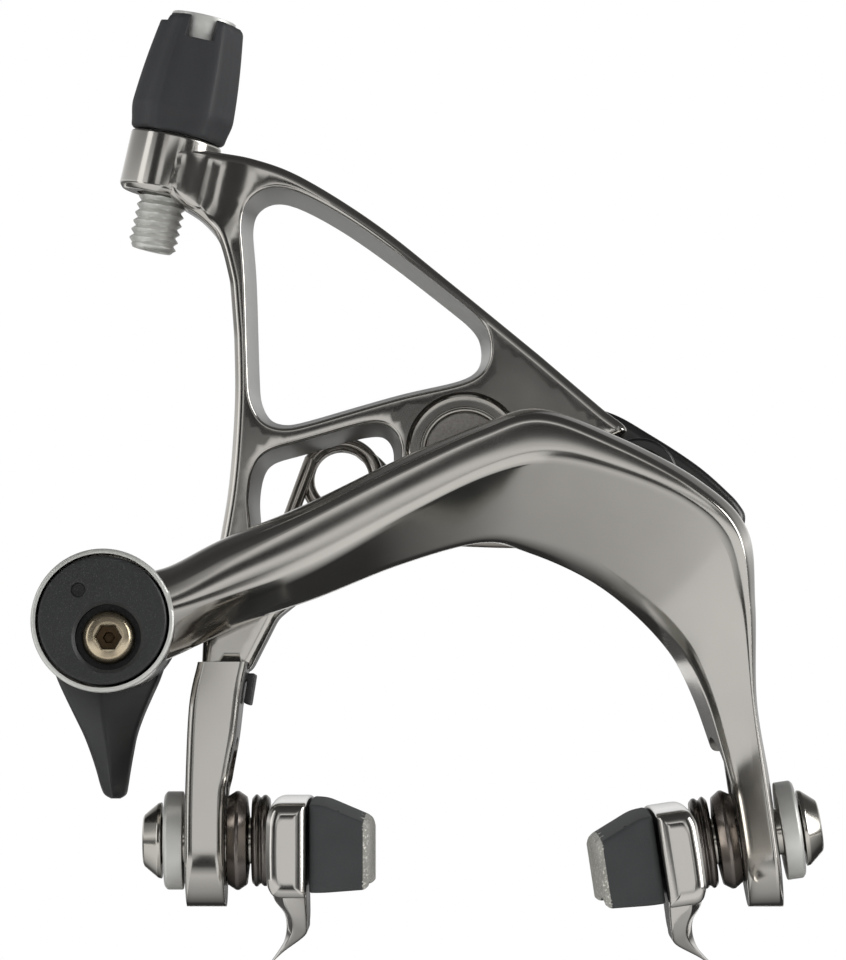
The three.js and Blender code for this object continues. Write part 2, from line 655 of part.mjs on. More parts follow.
const OUTER_WASHER_DEPTH = 2.2;
const PAD_BOLT_RADIUS = 2.7;
const PAD_HEAD_DEPTH = 2.2;
const CONCAVE_DEPTH = 2.3;
const CONVEX_DEPTH = 2.1;
const HOLDER_DEPTH = 4.6;
const HOLDER_HALF_HEIGHT = 5.3;
const PAD_DEPTH = 6.7;
const PAD_HALF_LENGTH = 26;
const RIM_RADIUS = 311; // the pads bend to follow the rim
const FIN_FRONT = -24;
const FIN_BACK = -4;

// Faces of the stacked pieces along the bolt axis.
const washerIn = -LEG_HALF - GAP;
const washerOut = washerIn - OUTER_WASHER_DEPTH;
const headOut = washerOut - GAP - PAD_HEAD_DEPTH;
const concaveIn = LEG_HALF + GAP;
const convexIn = concaveIn + CONCAVE_DEPTH + GAP;
const holderIn = convexIn + CONVEX_DEPTH + GAP;
const padIn = holderIn + HOLDER_DEPTH + GAP;
const padOut = padIn + PAD_DEPTH;

// A turned piece on the bolt axis. Its profile is [radius, x] pairs.
function onBolt(profile, sides = 32) {
  const points = profile.map(([radius, x]) => new THREE.Vector2(radius, x));
  return new THREE.LatheGeometry(points, sides).rotateZ(-Math.PI / 2);
}

function onBoltRing(inner, outer, from, to) {
  return onBolt([[inner, from], [outer, from], [outer, to], [inner, to], [inner, from]]);
}

function padBolt() {
  const tip = padIn - GAP;
  const body = onBolt([
    [0, headOut],
    [2.2, headOut],
    [4.4, washerOut - GAP],
    [PAD_BOLT_RADIUS, washerOut - GAP],
    [PAD_BOLT_RADIUS, tip],
    [0, tip],
  ]);
  const key = new THREE.CylinderGeometry(2, 2, 4, 6).rotateZ(Math.PI / 2).translate(headOut, 0, 0);
  return cut(body, key);
}

// Extruded along Y from a section in X and Z, then bent down at both ends to follow the rim.
function alongRim(section, front, back, steps) {
  const shape = new THREE.Shape(section);
  const bar = new THREE.ExtrudeGeometry(shape, { depth: back - front, steps, bevelEnabled: false });
  bar.rotateX(Math.PI / 2).translate(0, back, 0);
  const position = bar.attributes.position;
  for (let i = 0; i < position.count; i += 1) {
    const y = position.getY(i);
    position.setZ(i, position.getZ(i) - (y * y) / (2 * RIM_RADIUS));
  }
  return bar;
}

function padHolder() {
  const [left, right, half] = [holderIn, holderIn + HOLDER_DEPTH, HOLDER_HALF_HEIGHT];
  const section = corner([
    [left, 1 - half], [left + 1, -half], [right, -half], [right, half], [left + 1, half], [left, half - 1],
  ]);
  const fin = corner([
    [left + 0.4, -half + 0.2], [left + 2, -half - 2], [left + 2.4, -half - 5], [left + 1, -half - 7.7],
    [left + 2.6, -half - 7.2], [right, -half - 4.6], [right, -half + 0.2],
  ]);
  return cut(
    join(
      alongRim(section, -PAD_HALF_LENGTH, PAD_HALF_LENGTH, 12),
      alongRim(fin, FIN_FRONT, FIN_BACK, 5),
    ),
    onBolt([[0, 0], [PAD_BOLT_RADIUS + GAP, 0], [PAD_BOLT_RADIUS + GAP, 40], [0, 40]]),
  );
}

function brakePad() {
  const [base, face] = [4.75, 3.5];
  const section = corner([
    [padIn, -base], [padIn + 1.6, -base], [padOut - 0.4, -face - 0.2], [padOut, -face],
    [padOut, face], [padOut - 0.4, face + 0.2], [padIn + 1.6, base], [padIn, base],
  ]);
  return alongRim(section, -PAD_HALF_LENGTH + 1, PAD_HALF_LENGTH - 1, 12);
}

function padRetainer() {
  const middle = holderIn + HOLDER_DEPTH / 2;
  const screw = new THREE.CylinderGeometry(1.2, 1.2, 1, 12).rotateX(Math.PI / 2);
  return screw.translate(middle, 0, -HOLDER_HALF_HEIGHT - GAP - 0.5);
}

function mirrored(geometry) {
  return closed(geometry).scale(-1, 1, 1);
}

function addPadAssembly(side, pad, facing) {
  const place = (geometry) => (facing < 0 ? mirrored(geometry) : geometry);
  const group = new THREE.Group();
  group.position.set(pad.x, PAD_BOLT_Y, pad.z);
  group.rotation.y = -pad.lean;
  const bore = PAD_BOLT_RADIUS + GAP;
  add(group, `pad_bolt_${side}`, place(padBolt()), steel);
  const outer = onBoltRing(bore, OUTER_WASHER_RADIUS, washerOut, washerIn);
  add(group, `outer_washer_${side}`, place(outer), satinAluminium);
  const concave = onBolt([
    [bore, concaveIn],
    [OUTER_WASHER_RADIUS, concaveIn],
    [4.8, concaveIn + CONCAVE_DEPTH],
    [bore, concaveIn + CONCAVE_DEPTH],
    [bore, concaveIn],
  ]);
  add(group, `concave_washer_${side}`, place(concave), darkNickel);
  const convex = onBoltRing(bore, 5.2, convexIn, convexIn + CONVEX_DEPTH);
  add(group, `convex_washer_${side}`, place(convex), darkNickel);
  add(group, `pad_holder_${side}`, place(padHolder()), anodised);
  add(group, `brake_pad_${side}`, place(brakePad()), blackRubber);
  add(group, `pad_retainer_${side}`, place(padRetainer()), steel);
  caliper.add(group);
}

// Assembly.

add(caliper, "centre_bolt", centreBolt(), steel);
add(caliper, "crown_washer", crownWasher(), satinAluminium);
add(caliper, "rear_bridge", rearBridge(), anodised);
add(caliper, "centre_thrust_washer", thrustWasher(CENTRE, STUD_RADIUS + GAP, CENTRE_BOSS_RADIUS), steel);
add(caliper, "side_pivot_bush", sidePivotBush(), bronze);
add(caliper, "return_spring", returnSpring(), springSteel);

add(caliper, "rear_arm", rearArm(), anodised);
add(caliper, "centre_bush", centreBush(), bronze);
add(caliper, "spring_shoe", springShoe(), blackPlastic);
add(caliper, "detent_ring", detentRing(), blackRubber);
add(caliper, "adjuster_barrel", adjusterBarrel(), satinAluminium);
add(caliper, "adjuster_grip", adjusterGrip(), blackRubber);
add(caliper, "housing_ferrule", housingFerrule(), satinAluminium);

add(caliper, "front_arm", frontArm(), anodised);
add(caliper, "side_pivot_bolt", sidePivotBolt(), steel);
add(caliper, "equaliser_roller", equaliserRoller(), steel);
add(caliper, "release_cam", releaseCam(), blackPlastic);
add(caliper, "release_washer", releaseWasher(), steel);
add(caliper, "release_lever", releaseLever(), blackPlastic);
add(caliper, "anchor_screw", anchorScrew(), champagneSteel);
add(caliper, "cable_clamp_plate", cableClampPlate(), steel);
add(caliper, "anchor_nut", anchorNut(), steel);

addPadAssembly("left", LEFT_PAD, 1);
addPadAssembly("right", RIGHT_PAD, -1);

export default caliper;
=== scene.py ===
import math

import bpy
import bmesh
from mathutils import Matrix, Vector, kdtree
from mathutils.geometry import delaunay_2d_cdt


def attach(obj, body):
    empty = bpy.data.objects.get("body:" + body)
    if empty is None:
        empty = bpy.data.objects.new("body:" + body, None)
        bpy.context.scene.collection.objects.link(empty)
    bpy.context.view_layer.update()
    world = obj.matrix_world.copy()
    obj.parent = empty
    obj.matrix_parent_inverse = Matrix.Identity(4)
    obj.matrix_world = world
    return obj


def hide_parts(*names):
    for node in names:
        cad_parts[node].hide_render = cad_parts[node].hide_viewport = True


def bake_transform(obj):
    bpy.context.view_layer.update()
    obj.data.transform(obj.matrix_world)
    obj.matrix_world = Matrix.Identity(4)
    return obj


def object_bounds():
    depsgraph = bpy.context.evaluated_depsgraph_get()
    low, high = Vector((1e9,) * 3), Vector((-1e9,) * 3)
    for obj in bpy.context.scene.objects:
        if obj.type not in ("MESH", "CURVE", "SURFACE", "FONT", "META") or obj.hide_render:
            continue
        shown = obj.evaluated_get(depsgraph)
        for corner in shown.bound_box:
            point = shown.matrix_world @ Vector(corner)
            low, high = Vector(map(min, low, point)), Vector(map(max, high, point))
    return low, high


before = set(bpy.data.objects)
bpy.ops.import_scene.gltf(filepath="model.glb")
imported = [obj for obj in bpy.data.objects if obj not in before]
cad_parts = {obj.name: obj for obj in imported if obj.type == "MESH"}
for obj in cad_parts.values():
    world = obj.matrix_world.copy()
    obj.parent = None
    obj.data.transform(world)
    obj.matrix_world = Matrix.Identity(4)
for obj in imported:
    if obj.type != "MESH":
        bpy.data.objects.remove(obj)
cadBox = [list(corner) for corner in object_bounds()]
mm = 0.001  # shapes below are in millimetres, and solid() turns them to metres


# Lines and outlines

def smoothCurve(points, steps):  # a smooth line through every point
    points = [Vector(point) for point in points]
    last = len(points) - 1
    line = []
    for i in range(steps + 1):
        k = min(int(i * last / steps), last - 1)
        t = i * last / steps - k
        a, b = points[max(k - 1, 0)], points[k]
        c, d = points[k + 1], points[min(k + 2, last)]
        square = (2 * a - 5 * b + 4 * c - d) * t ** 2
        cube = (3 * b - a - 3 * c + d) * t ** 3
        line.append((2 * b + (c - a) * t + square + cube) / 2)
    return line


def arcPoints(centre, radius, start, end, steps):  # angles in degrees, from +X towards +Z
    turns = [math.radians(start + (end - start) * i / steps) for i in range(steps + 1)]
    return [Vector((centre[0] + radius * math.cos(a), centre[1] + radius * math.sin(a))) for a in turns]


def softened(points, radius, closed=False, steps=4):  # swaps each corner for a small curve
    count = len(points)
    points = [Vector(point) for point in points]
    line = []
    for i, point in enumerate(points):
        if not closed and i in (0, count - 1):
            line.append(point)
            continue
        size = radius[i] if isinstance(radius, list) else radius
        before, after = points[i - 1] - point, points[(i + 1) % count] - point
        start = point + before * min(size / max(before.length, 1e-6), 0.45)
        end = point + after * min(size / max(after.length, 1e-6), 0.45)
        for k in range(steps + 1):
            t = k / steps
            line.append(start * (1 - t) ** 2 + point * 2 * t * (1 - t) + end * t ** 2)
    return line


def evenLoop(loop, spacing, passes=2):  # even points round a closed outline, corners eased
    loop = [Vector(point) for point in loop]
    ends = loop[1:] + loop[:1]
    lengths = [(b - a).length for a, b in zip(loop, ends)]
    total = sum(lengths)
    count = max(int(total / spacing), 12)
    points, k, passed = [], 0, 0.0
    for i in range(count):
        place = total * i / count
        while passed + lengths[k] < place:
            passed += lengths[k]
            k += 1
        points.append(loop[k].lerp(ends[k], (place - passed) / max(lengths[k], 1e-9)))
    for _ in range(passes):
        points = [(points[i - 1] + 2 * points[i] + points[(i + 1) % count]) / 4 for i in range(count)]
    return points


def turnedTo(loop, anticlockwise):
    area = sum(a.x * b.y - b.x * a.y for a, b in zip(loop, loop[1:] + loop[:1]))
    return loop if (area > 0) == anticlockwise else loop[::-1]


def step(value, low, high):  # 0 below low, 1 above high, smooth between
    t = min(max((value - low) / (high - low), 0), 1)
    return t * t * (3 - 2 * t)


# Meshes: each function gives vertices and faces

def revolve(profile, sides=96, loop=False, shape=None):  # profile is [radius, height] pairs
    vertices, faces = [], []
    for radius, height in profile:
        for k in range(sides):
            angle = 2 * math.pi * k / sides
            r, h = shape(radius, height, angle) if shape else (radius, height)
            vertices.append(Vector((r * math.cos(angle), r * math.sin(angle), h)))
    rows = len(profile)
    for i in range(rows if loop else rows - 1):
        for k in range(sides):
            a, b = i * sides + k, i * sides + (k + 1) % sides
            c, d = (i + 1) % rows * sides + k, (i + 1) % rows * sides + (k + 1) % sides
            faces.append((a, b, d, c))
    return vertices, faces


def loftMesh(sections):  # a skin over sections that have the same number of points
    vertices = [point for section in sections for point in section]
    count = len(sections[0])
    faces = []
    for i in range(len(sections) - 1):
        for k in range(count):
            a, b = i * count + k, i * count + (k + 1) % count
            faces.append((a, b, b + count, a + count))
    for start in (0, (len(sections) - 1) * count):
        middle = sum((vertices[start + k] for k in range(count)), Vector((0, 0, 0))) / count
        vertices.append(middle)
        for k in range(count):
            faces.append((start + k, start + (k + 1) % count, len(vertices) - 1))
    return vertices, faces


def sweep(path, radius, sides=14):  # a round wire along a path, with flat ends
    sections, up = [], Vector((0, 1, 0))
    for i, point in enumerate(path):
        ahead = (path[min(i + 1, len(path) - 1)] - path[max(i - 1, 0)]).normalized()
        across = ahead.cross(up).normalized()
        over = across.cross(ahead)
        turns = [2 * math.pi * k / sides for k in range(sides)]
        sections.append([point + (across * math.cos(a) + over * math.sin(a)) * radius for a in turns])
    return loftMesh(sections)


def covered(point, borders):  # inside the outline and outside its holes
    x, z = point
    crossed = sum((a.y > z) != (b.y > z) and x < a.x + (z - a.y) * (b.x - a.x) / (b.y - a.y)
                  for a, b in borders)
    return crossed % 2 == 1


def fillFlat(rings, grid):  # triangles over a flat area with holes, and even points inside it
    points, edges = [], []
    for ring in rings:
        start, count = len(points), len(ring)
        points += ring
        edges += [(start + k, start + (k + 1) % count) for k in range(count)]
    tree = kdtree.KDTree(len(points))
    for i, point in enumerate(points):
        tree.insert((point.x, point.y, 0), i)
    tree.balance()
    borders = [(points[a], points[b]) for a, b in edges]
    low = Vector((min(p.x for p in points), min(p.y for p in points)))
    high = Vector((max(p.x for p in points), max(p.y for p in points)))
    for row in range(int((high.y - low.y) / grid) + 1):
        z = low.y + row * grid
        crossings = sorted(a.x + (z - a.y) * (b.x - a.x) / (b.y - a.y)
                           for a, b in borders if (a.y > z) != (b.y > z))
        for left, right in zip(crossings[::2], crossings[1::2]):
            x = left + grid * 0.6 * (1 + row % 2 / 2)
            while x < right:
                if tree.find((x, z, 0))[2] > grid * 0.55:
                    points.append(Vector((x, z)))
                x += grid
    flat, _, triangles, *_ = delaunay_2d_cdt(points, edges, [], 1, 1e-6)
    triangles = [t for t in triangles if covered(sum((flat[k] for k in t), Vector((0, 0))) / 3, borders)]
    return flat, triangles


def plateMesh(outline, holes, frontAt, backAt, edge, spacing=0.4, grid=0.9, steps=5, holeEdge=0.4, draft=0.0):
    # edge and holeEdge round the rims, and draft makes each hole narrower towards the back
    loops = [turnedTo(evenLoop(outline, spacing), True)]
    loops += [turnedTo(evenLoop(hole, spacing, 12), False) for hole in holes]
    vertices, faces = [], []
    rings = {True: [], False: []}
    angles = [math.pi / 2 * k / steps for k in range(steps + 1)]
    for number, loop in enumerate(loops):
        size, slope = (holeEdge, draft) if number else (edge, 0.0)
        turnIn = [(size * (1 - math.cos(a)), size * (1 - math.sin(a))) for a in angles]
        count = len(loop)
        sides = [(loop[(i + 1) % count] - loop[i - 1]).normalized() for i in range(count)]
        inward = [Vector((-side.y, side.x)) for side in sides]
        first = len(vertices)
        for front, profile in ((True, turnIn[::-1]), (False, turnIn)):
            shift = 0 if front else -slope
            for inset, drop in profile:
                for point, normal in zip(loop, inward):
                    x, z = point + normal * (inset + shift)
                    low, high = frontAt(x, z), backAt(x, z)
                    depth = min(drop, (high - low) / 2)
                    vertices.append(Vector((x, low + depth if front else high - depth, z)))
            rings[front].append([point + normal * (size + shift) for point, normal in zip(loop, inward)])
        rows = 2 * len(turnIn)
        for i in range(rows - 1):
            for k in range(count):
                a, b = first + i * count + k, first + i * count + (k + 1) % count
                faces.append((a, b, b + count, a + count))
    for front, heightAt in ((True, frontAt), (False, backAt)):
        flat, triangles = fillFlat(rings[front], grid)
        first = len(vertices)
        vertices += [Vector((x, heightAt(x, z), z)) for x, z in flat]
        faces += [tuple(first + k for k in triangle) for triangle in triangles]
    return vertices, faces


def moved(shape, matrix):
    vertices, faces = shape
    return [matrix @ vertex for vertex in vertices], faces


def solid(name, shape, weld=1e-4):  # a closed mesh object
    vertices, faces = shape
    mesh = bpy.data.meshes.new(name)
    mesh.from_pydata([vertex * mm for vertex in vertices], [], faces)
    work = bmesh.new()
    work.from_mesh(mesh)
    bmesh.ops.remove_doubles(work, verts=work.verts, dist=weld * mm)
    bmesh.ops.dissolve_degenerate(work, edges=work.edges, dist=weld * mm)
    bmesh.ops.recalc_face_normals(work, faces=work.faces)
    work.to_mesh(mesh)
    work.free()
    piece = bpy.data.objects.new(name, mesh)
    bpy.context.scene.collection.objects.link(piece)
    return piece


def combine(piece, tools, operation):  # joins or cuts, and leaves one clean mesh
    for tool in tools:
        change = piece.modifiers.new("combine", "BOOLEAN")
        change.operation = operation
        change.solver = "EXACT"
        change.object = tool
    bpy.context.view_layer.update()
    graph = bpy.context.evaluated_depsgraph_get()
    mesh = bpy.data.meshes.new_from_object(piece.evaluated_get(graph))
    piece.modifiers.clear()
    piece.data = mesh
    for tool in tools:
        bpy.data.objects.remove(tool)
    return piece


def finishPiece(piece, material, body, slot, *nodes, sharp=32):
    mesh = piece.data
    mesh.materials.clear()
    mesh.materials.append(material)
    mesh.shade_smooth()
    mesh.set_sharp_from_angle(angle=math.radians(sharp))
    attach(piece, body)
    if nodes:
        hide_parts(*nodes)
    return piece


def alongY(x, z):  # a turned piece whose heights are Y values
    return Matrix.Translation((x, 0, z)) @ Matrix.Rotation(-math.pi / 2, 4, "X")


def spun(name, rows, sides, place, loop=False, shape=None):
    return solid(name, moved(revolve(rows, sides, loop, shape), place))


# Materials

def linear(hexCode):
    parts = [int(hexCode[i:i + 2], 16) / 255 for i in (1, 3, 5)]
    return tuple(c / 12.92 if c <= 0.04045 else ((c + 0.055) / 1.055) ** 2.4 for c in parts) + (1,)


def addNode(tree, kind, settings=None, links=None):
    node = tree.nodes.new(kind)
    for name, value in (settings or {}).items():
        if name in node.inputs:
            node.inputs[name].default_value = value
        else:
            setattr(node, name, value)
    for name, source in (links or {}).items():
        tree.links.new(source, node.inputs[name])
    return node


def perSize(size):  # texture scale for a pattern whose features are this many mm across
    return 1 / (size * mm)


def toned(name, dark, light, patch, grain, detail, coarse, depth):
    # the colour drifts between two tones over patch mm; grain and depth are the surface's tooth in mm
    material = bpy.data.materials.new(name)
    material.use_nodes = True
    tree = material.node_tree
    shader = tree.nodes["Principled BSDF"]
    place = addNode(tree, "ShaderNodeTexCoord").outputs["Object"]
    drift = addNode(tree, "ShaderNodeTexNoise", {"Scale": perSize(patch), "Detail": 3.0}, {"Vector": place})
    tooth = addNode(tree, "ShaderNodeTexNoise",
                    {"Scale": perSize(grain), "Detail": detail, "Roughness": coarse}, {"Vector": place})
    tone = addNode(tree, "ShaderNodeMix", {"data_type": "RGBA"}, {"Factor": drift.outputs["Fac"]})
    tone.inputs[6].default_value = linear(dark)
    tone.inputs[7].default_value = linear(light)
    bump = addNode(tree, "ShaderNodeBump", {"Distance": depth * mm, "Strength": 1.0},
                   {"Height": tooth.outputs["Fac"]})
    tree.links.new(bump.outputs["Normal"], shader.inputs["Normal"])
    return material, drift.outputs["Fac"], tooth.outputs["Fac"], tone.outputs[2]


def painted(material, colour, gloss, low, high):
    tree = material.node_tree
    shader = tree.nodes["Principled BSDF"]
    tree.links.new(colour, shader.inputs["Base Color"])
    rough = addNode(tree, "ShaderNodeMapRange", {"To Min": low, "To Max": high}, {"Value": gloss})
    tree.links.new(rough.outputs["Result"], shader.inputs["Roughness"])
    return shader


def metalFinish(name, dark, light, rough, patch, grain, depth, metallic=1.0):
    material, drift, _, colour = toned(name, dark, light, patch, grain, 4.0, 0.5, depth)
    painted(material, colour, drift, rough - 0.05, rough + 0.05).inputs["Metallic"].default_value = metallic
    return material


def plasticFinish(name, dark, light, rough, grain, depth, speck=None):
    # speck is a pale tone that catches on the grain's high points
    material, _, tooth, colour = toned(name, dark, light, 4, grain, 3.0, 0.6, depth)
    if speck:
        tree = material.node_tree
        high = addNode(tree, "ShaderNodeMapRange", {"From Min": 0.55, "From Max": 0.72}, {"Value": tooth})
        flecked = addNode(tree, "ShaderNodeMix", {"data_type": "RGBA"},
                          {"Factor": high.outputs["Result"], 6: colour})
        flecked.inputs[7].default_value = linear(speck)
        colour = flecked.outputs[2]
    painted(material, colour, tooth, rough - 0.06, rough + 0.08).inputs["IOR"].default_value = 1.5
    return material


# forged and tumbled, then anodised warm grey: long soft reflections with a faint drift of tone
anodisedArm = metalFinish("anodisedForgedAluminium", "#b6b3ae", "#c5c2bc", 0.14, patch=9, grain=0.5,
                          depth=0.0006)
# the same forging as the arms, given a much darker base: painted shade for the bridge hidden behind the arms,
# and rougher
shadedForging = metalFinish("paintedShadeForgedAluminium", "#474747", "#545352", 0.34, patch=5, grain=0.25,
                            depth=0.003)
# fine bead blast: even pale satin
satinAluminium = metalFinish("beadBlastedAluminium", "#c2c2bf", "#d6d6d2", 0.42, patch=3, grain=0.14,
                             depth=0.012, metallic=0.8)
# the window walls keep the even grey of the cutter under the anodising
windowWall = metalFinish("satinWindowWall", "#b4b4b2", "#c4c4c2", 0.45, patch=3, grain=0.2, depth=0.006)
# coarse blast: the bolt's face glitters
blastedSteel = metalFinish("gritBlastedSteel", "#83807d", "#c0bcb7", 0.4, patch=0.22, grain=0.2, depth=0.07)
# turned and polished: bright and nearly a mirror
polishedSteel = metalFinish("polishedStainlessSteel", "#bab6ae", "#cbc8c1", 0.14, patch=3, grain=0.3,
                            depth=0.001)
# nickel over turned steel: brown-grey, softer reflections
turnedNickel = metalFinish("turnedNickelSteel", "#77706b", "#8c8580", 0.26, patch=2, grain=0.2, depth=0.003)
darkNickel = metalFinish("darkNickelSteel", "#6f6a66", "#7f7a76", 0.24, patch=2, grain=0.2, depth=0.002)
# plated screw: pale champagne; the socket walls get a dark brown copy of it, painted shade down the socket
champagneSteel = metalFinish("champagnePlatedSteel", "#c3b397", "#d6cab2", 0.27, patch=2, grain=0.2,
                             depth=0.004)
shadedSocketSteel = metalFinish("broachedSocketPaintedShade", "#4a3c2c", "#5c4c38", 0.4, patch=1, grain=0.2, depth=0.01)
# drawn wire: long bright lines
springSteel = metalFinish("drawnSpringSteel", "#a39d96", "#bab5ae", 0.16, patch=4, grain=0.3, depth=0.002)
# oil-filled sintered bush: matt brown-gold
bronze = metalFinish("sinteredBronze", "#7e6138", "#9c7a45", 0.42, patch=1, grain=0.2, depth=0.01)
# cast, then polished: bright with faint waves
holderMetal = metalFinish("polishedCastAluminium", "#bab7b2", "#cac7c2", 0.13, patch=5, grain=0.4,
                          depth=0.0008)
# glass-filled nylon out of a spark-eroded mould: fine pale speckle
blackNylon = plasticFinish("mouldedBlackNylon", "#151617", "#1c1d1e", 0.46, grain=0.13, depth=0.02,
                           speck="#38393b")
smoothNylon = plasticFinish("smoothMouldedNylon", "#1a1b1c", "#222324", 0.4, grain=0.15, depth=0.01)
# moulded rubber: dark and matt
gripRubber = plasticFinish("mouldedGripRubber", "#1c1d1f", "#242528", 0.55, grain=0.18, depth=0.012)
padRubber = plasticFinish("mouldedPadRubber", "#242627", "#2e3031", 0.66, grain=0.25, depth=0.03)
# the braking face is ground: pale grey drag marks
groundRubber = plasticFinish("groundPadRubber", "#5d5d58", "#8d8c86", 0.85, grain=0.3, depth=0.1,
                             speck="#c3c1ba")
print("materials made")


# Centre bolt, washers and bushes

sidePivot = (20.2, -3.0)
rollerAxis = (10.6, -6.6)
centre = {"headRadius": 5.3, "headFront": -16.6, "headBack": -14.9, "studRadius": 3.0, "studEnd": 24.0,
          "threadStart": 4.0, "pitch": 1.0, "washerFront": -2.3, "washerTeeth": 40, "recessRadius": 6.4,
          "recessFloor": -14.6}


def threadedProfile(start, end, radius, pitch):  # rows close enough to carry a thread
    rows = int((end - start) / pitch * 10)
    return [[radius, start + (end - start) * i / rows] for i in range(rows + 1)]


def threadShape(start, end, radius, pitch, depth, taper):
    def shape(r, h, angle):
        if r < radius - 1e-6:
            return r, h
        turn = (h / pitch - angle / (2 * math.pi)) % 1
        crest = 1 - abs(2 * turn - 1)
        fade = min(step(h, start, start + taper), 1 - step(h, end - taper, end))
        return r - depth * (1 - crest) * max(fade, 0.0) - depth * (1 - fade) * 0.9, h
    return shape


def makeCentreBolt(c):
    face = c["headFront"]
    profile = [[0, face + 0.22], [c["headRadius"] - 0.75, face + 0.22], [c["headRadius"] - 0.6, face],
               [c["headRadius"], face], [c["headRadius"], c["headBack"]], [c["studRadius"], c["headBack"]],
               [c["studRadius"], c["threadStart"] - 1]]
    head = softened(profile, 0.16)
    thread = threadedProfile(c["threadStart"] - 0.9, c["studEnd"], c["studRadius"], c["pitch"])
    rows = [list(point) for point in head] + thread + [[0, c["studEnd"]]]
    cut = threadShape(c["threadStart"], c["studEnd"] + 0.2, c["studRadius"], c["pitch"], 0.55, 0.8)
    bolt = spun("centre_bolt_turned", rows, 96, alongY(0, 0),
                shape=lambda r, h, a: cut(r, h, a) if h > 3 else (r, h))
    finishPiece(bolt, polishedSteel, "bridge", "bolt_steel", "centre_bolt")
    bolt.data.materials.append(blastedSteel)
    for face in bolt.data.polygons:  # the sunk disc of the head is grit blasted
        if face.center.y < (c["headFront"] + 0.5) * mm and face.center.xz.length < 4.6 * mm:
            face.material_index = 1
    return bolt


def turnedPiece(name, profile, place, material, body, slot, node, soft=0.12, loop=True, sides=96):
    piece = spun(name, softened(profile, soft, closed=loop), sides, place, loop)
    return finishPiece(piece, material, body, slot, node)


def ringProfile(inner, outer, back, front):
    return [[inner, front], [outer, front], [outer, back], [inner, back]]


makeCentreBolt(centre)


def crownTooth(r, h, angle):  # radial teeth bite the fork crown
    if h < -0.05:
        return r, h
    return r, h - 0.22 * abs(math.sin(angle * centre["washerTeeth"] / 2))


crownWasher = softened(ringProfile(3.3, 6.7, 0, centre["washerFront"]), 0.15, closed=True)
finishPiece(spun("crown_washer_toothed", crownWasher, 480, alongY(0, 0), True, crownTooth), satinAluminium,
            "bridge", "satin_aluminium", "crown_washer")
turnedPiece("centre_thrust_washer_turned", ringProfile(3.3, 7.0, -7.3, -7.9), alongY(0, 0),
            polishedSteel, "bridge", "bolt_steel", "centre_thrust_washer")
turnedPiece("centre_bush_turned", ringProfile(3.3, 4.9, -8.4, -14.4), alongY(0, 0),
            bronze, "rear_arm", "bronze_bush", "centre_bush")
turnedPiece("side_pivot_bush_turned", ringProfile(2.6, 3.15, -5.1, -18.7), alongY(*sidePivot),
            bronze, "bridge", "bronze_bush", "side_pivot_bush")
print("centre bolt and bushes made")


# Bridge behind the arms

def cylinder(radius, back, front, axis, sides=64):
    return spun("tool", [[0, front], [radius, front], [radius, back], [0, back]], sides, alongY(*axis))


def makeBridge():
    outline = arcPoints((0, 0), 7.0, 250, 90, 24)
    outline += smoothCurve([(9, 6.9), (16.6, 5.5), (21.9, 2.7), (27.8, -1.2), (32, -5)], 20)
    outline += smoothCurve([(33.2, -6.7), (32.8, -8.6), (30.6, -9.6), (26, -9.2)], 10)
    outline += smoothCurve([(19, -8.4), (10, -7.7), (4, -7.2)], 8)
    body = solid("rear_bridge_forged", plateMesh(outline, [], lambda x, z: -7.0, lambda x, z: -2.6, 1.1))
    boss = spun("boss", softened([[0, -18.7], [4.5, -18.7], [4.5, -3.6], [0, -3.6]], 0.5), 64,
                alongY(*sidePivot))
    combine(body, [boss], "UNION")
    combine(body, [cylinder(3.3, 1, -20, (0, 0)), cylinder(3.3, 1, -20, sidePivot),
                   cylinder(4.2, 1, -4.8, sidePivot)], "DIFFERENCE")
    # the bridge takes the darker copy of the forging: painted shade
    return finishPiece(body, shadedForging, "bridge", "hidden_forging", "rear_bridge")


makeBridge()
pivotBolt = softened([[0, -27], [2.3, -27], [2.3, -4.5], [3.9, -4.5], [3.9, -2.6]], 0.15)
pivotBolt += softened([[3.2, -2.6], [1.5, -2.6], [1.5, -4.0], [0, -4.0]], 0.1)
finishPiece(spun("side_pivot_bolt_turned", pivotBolt, 72, alongY(*sidePivot)), polishedSteel,
            "front_arm", "bolt_steel", "side_pivot_bolt")
roller = [[0, -24], [1.2, -24], [1.2, -18.7], [1.5, -18.7], [1.5, -9.2], [0, -9.2]]
turnedPiece("equaliser_roller_turned", roller, alongY(*rollerAxis), polishedSteel, "front_arm",
            "bolt_steel", "equaliser_roller", 0.2, False, 48)
print("bridge made")


# Rear arm: boss, struts with two windows, and the left leg

adjuster = {"foot": (-36.8, -13.0, 23.9), "lean": 12.7, "bossRadius": 5.4, "bossFoot": 6.4,
            "bossTop": 13.45, "bossSeat": 12.8, "seatRadius": 4.75, "threadRadius": 2.9, "gripFoot": 13.7,
            "gripTop": 27.7, "gripFootRadius": 6.3, "gripTopRadius": 4.9, "gripBore": 4.1,
            "ferruleSeat": 21.0, "pitch": 1.0}
onAdjuster = Matrix.Translation(adjuster["foot"]) @ Matrix.Rotation(math.radians(adjuster["lean"]), 4, "Y")
rearArm = {"front": -18.0, "back": -8.2, "edge": 1.1, "windowDraft": 1.0, "legFront": -23.0, "legBack": -9.0,
           "footRadius": 7.0, "footPower": 2.6, "legFoot": -52.8, "legEdge": 1.0, "valley": 1.1}


def fromAdjuster(x, z):  # how far right of the adjuster axis, and how far up it
    lean = math.radians(adjuster["lean"])
    dx, dz = x - adjuster["foot"][0], z - adjuster["foot"][2]
    return dx * math.cos(lean) - dz * math.sin(lean), dx * math.sin(lean) + dz * math.cos(lean)


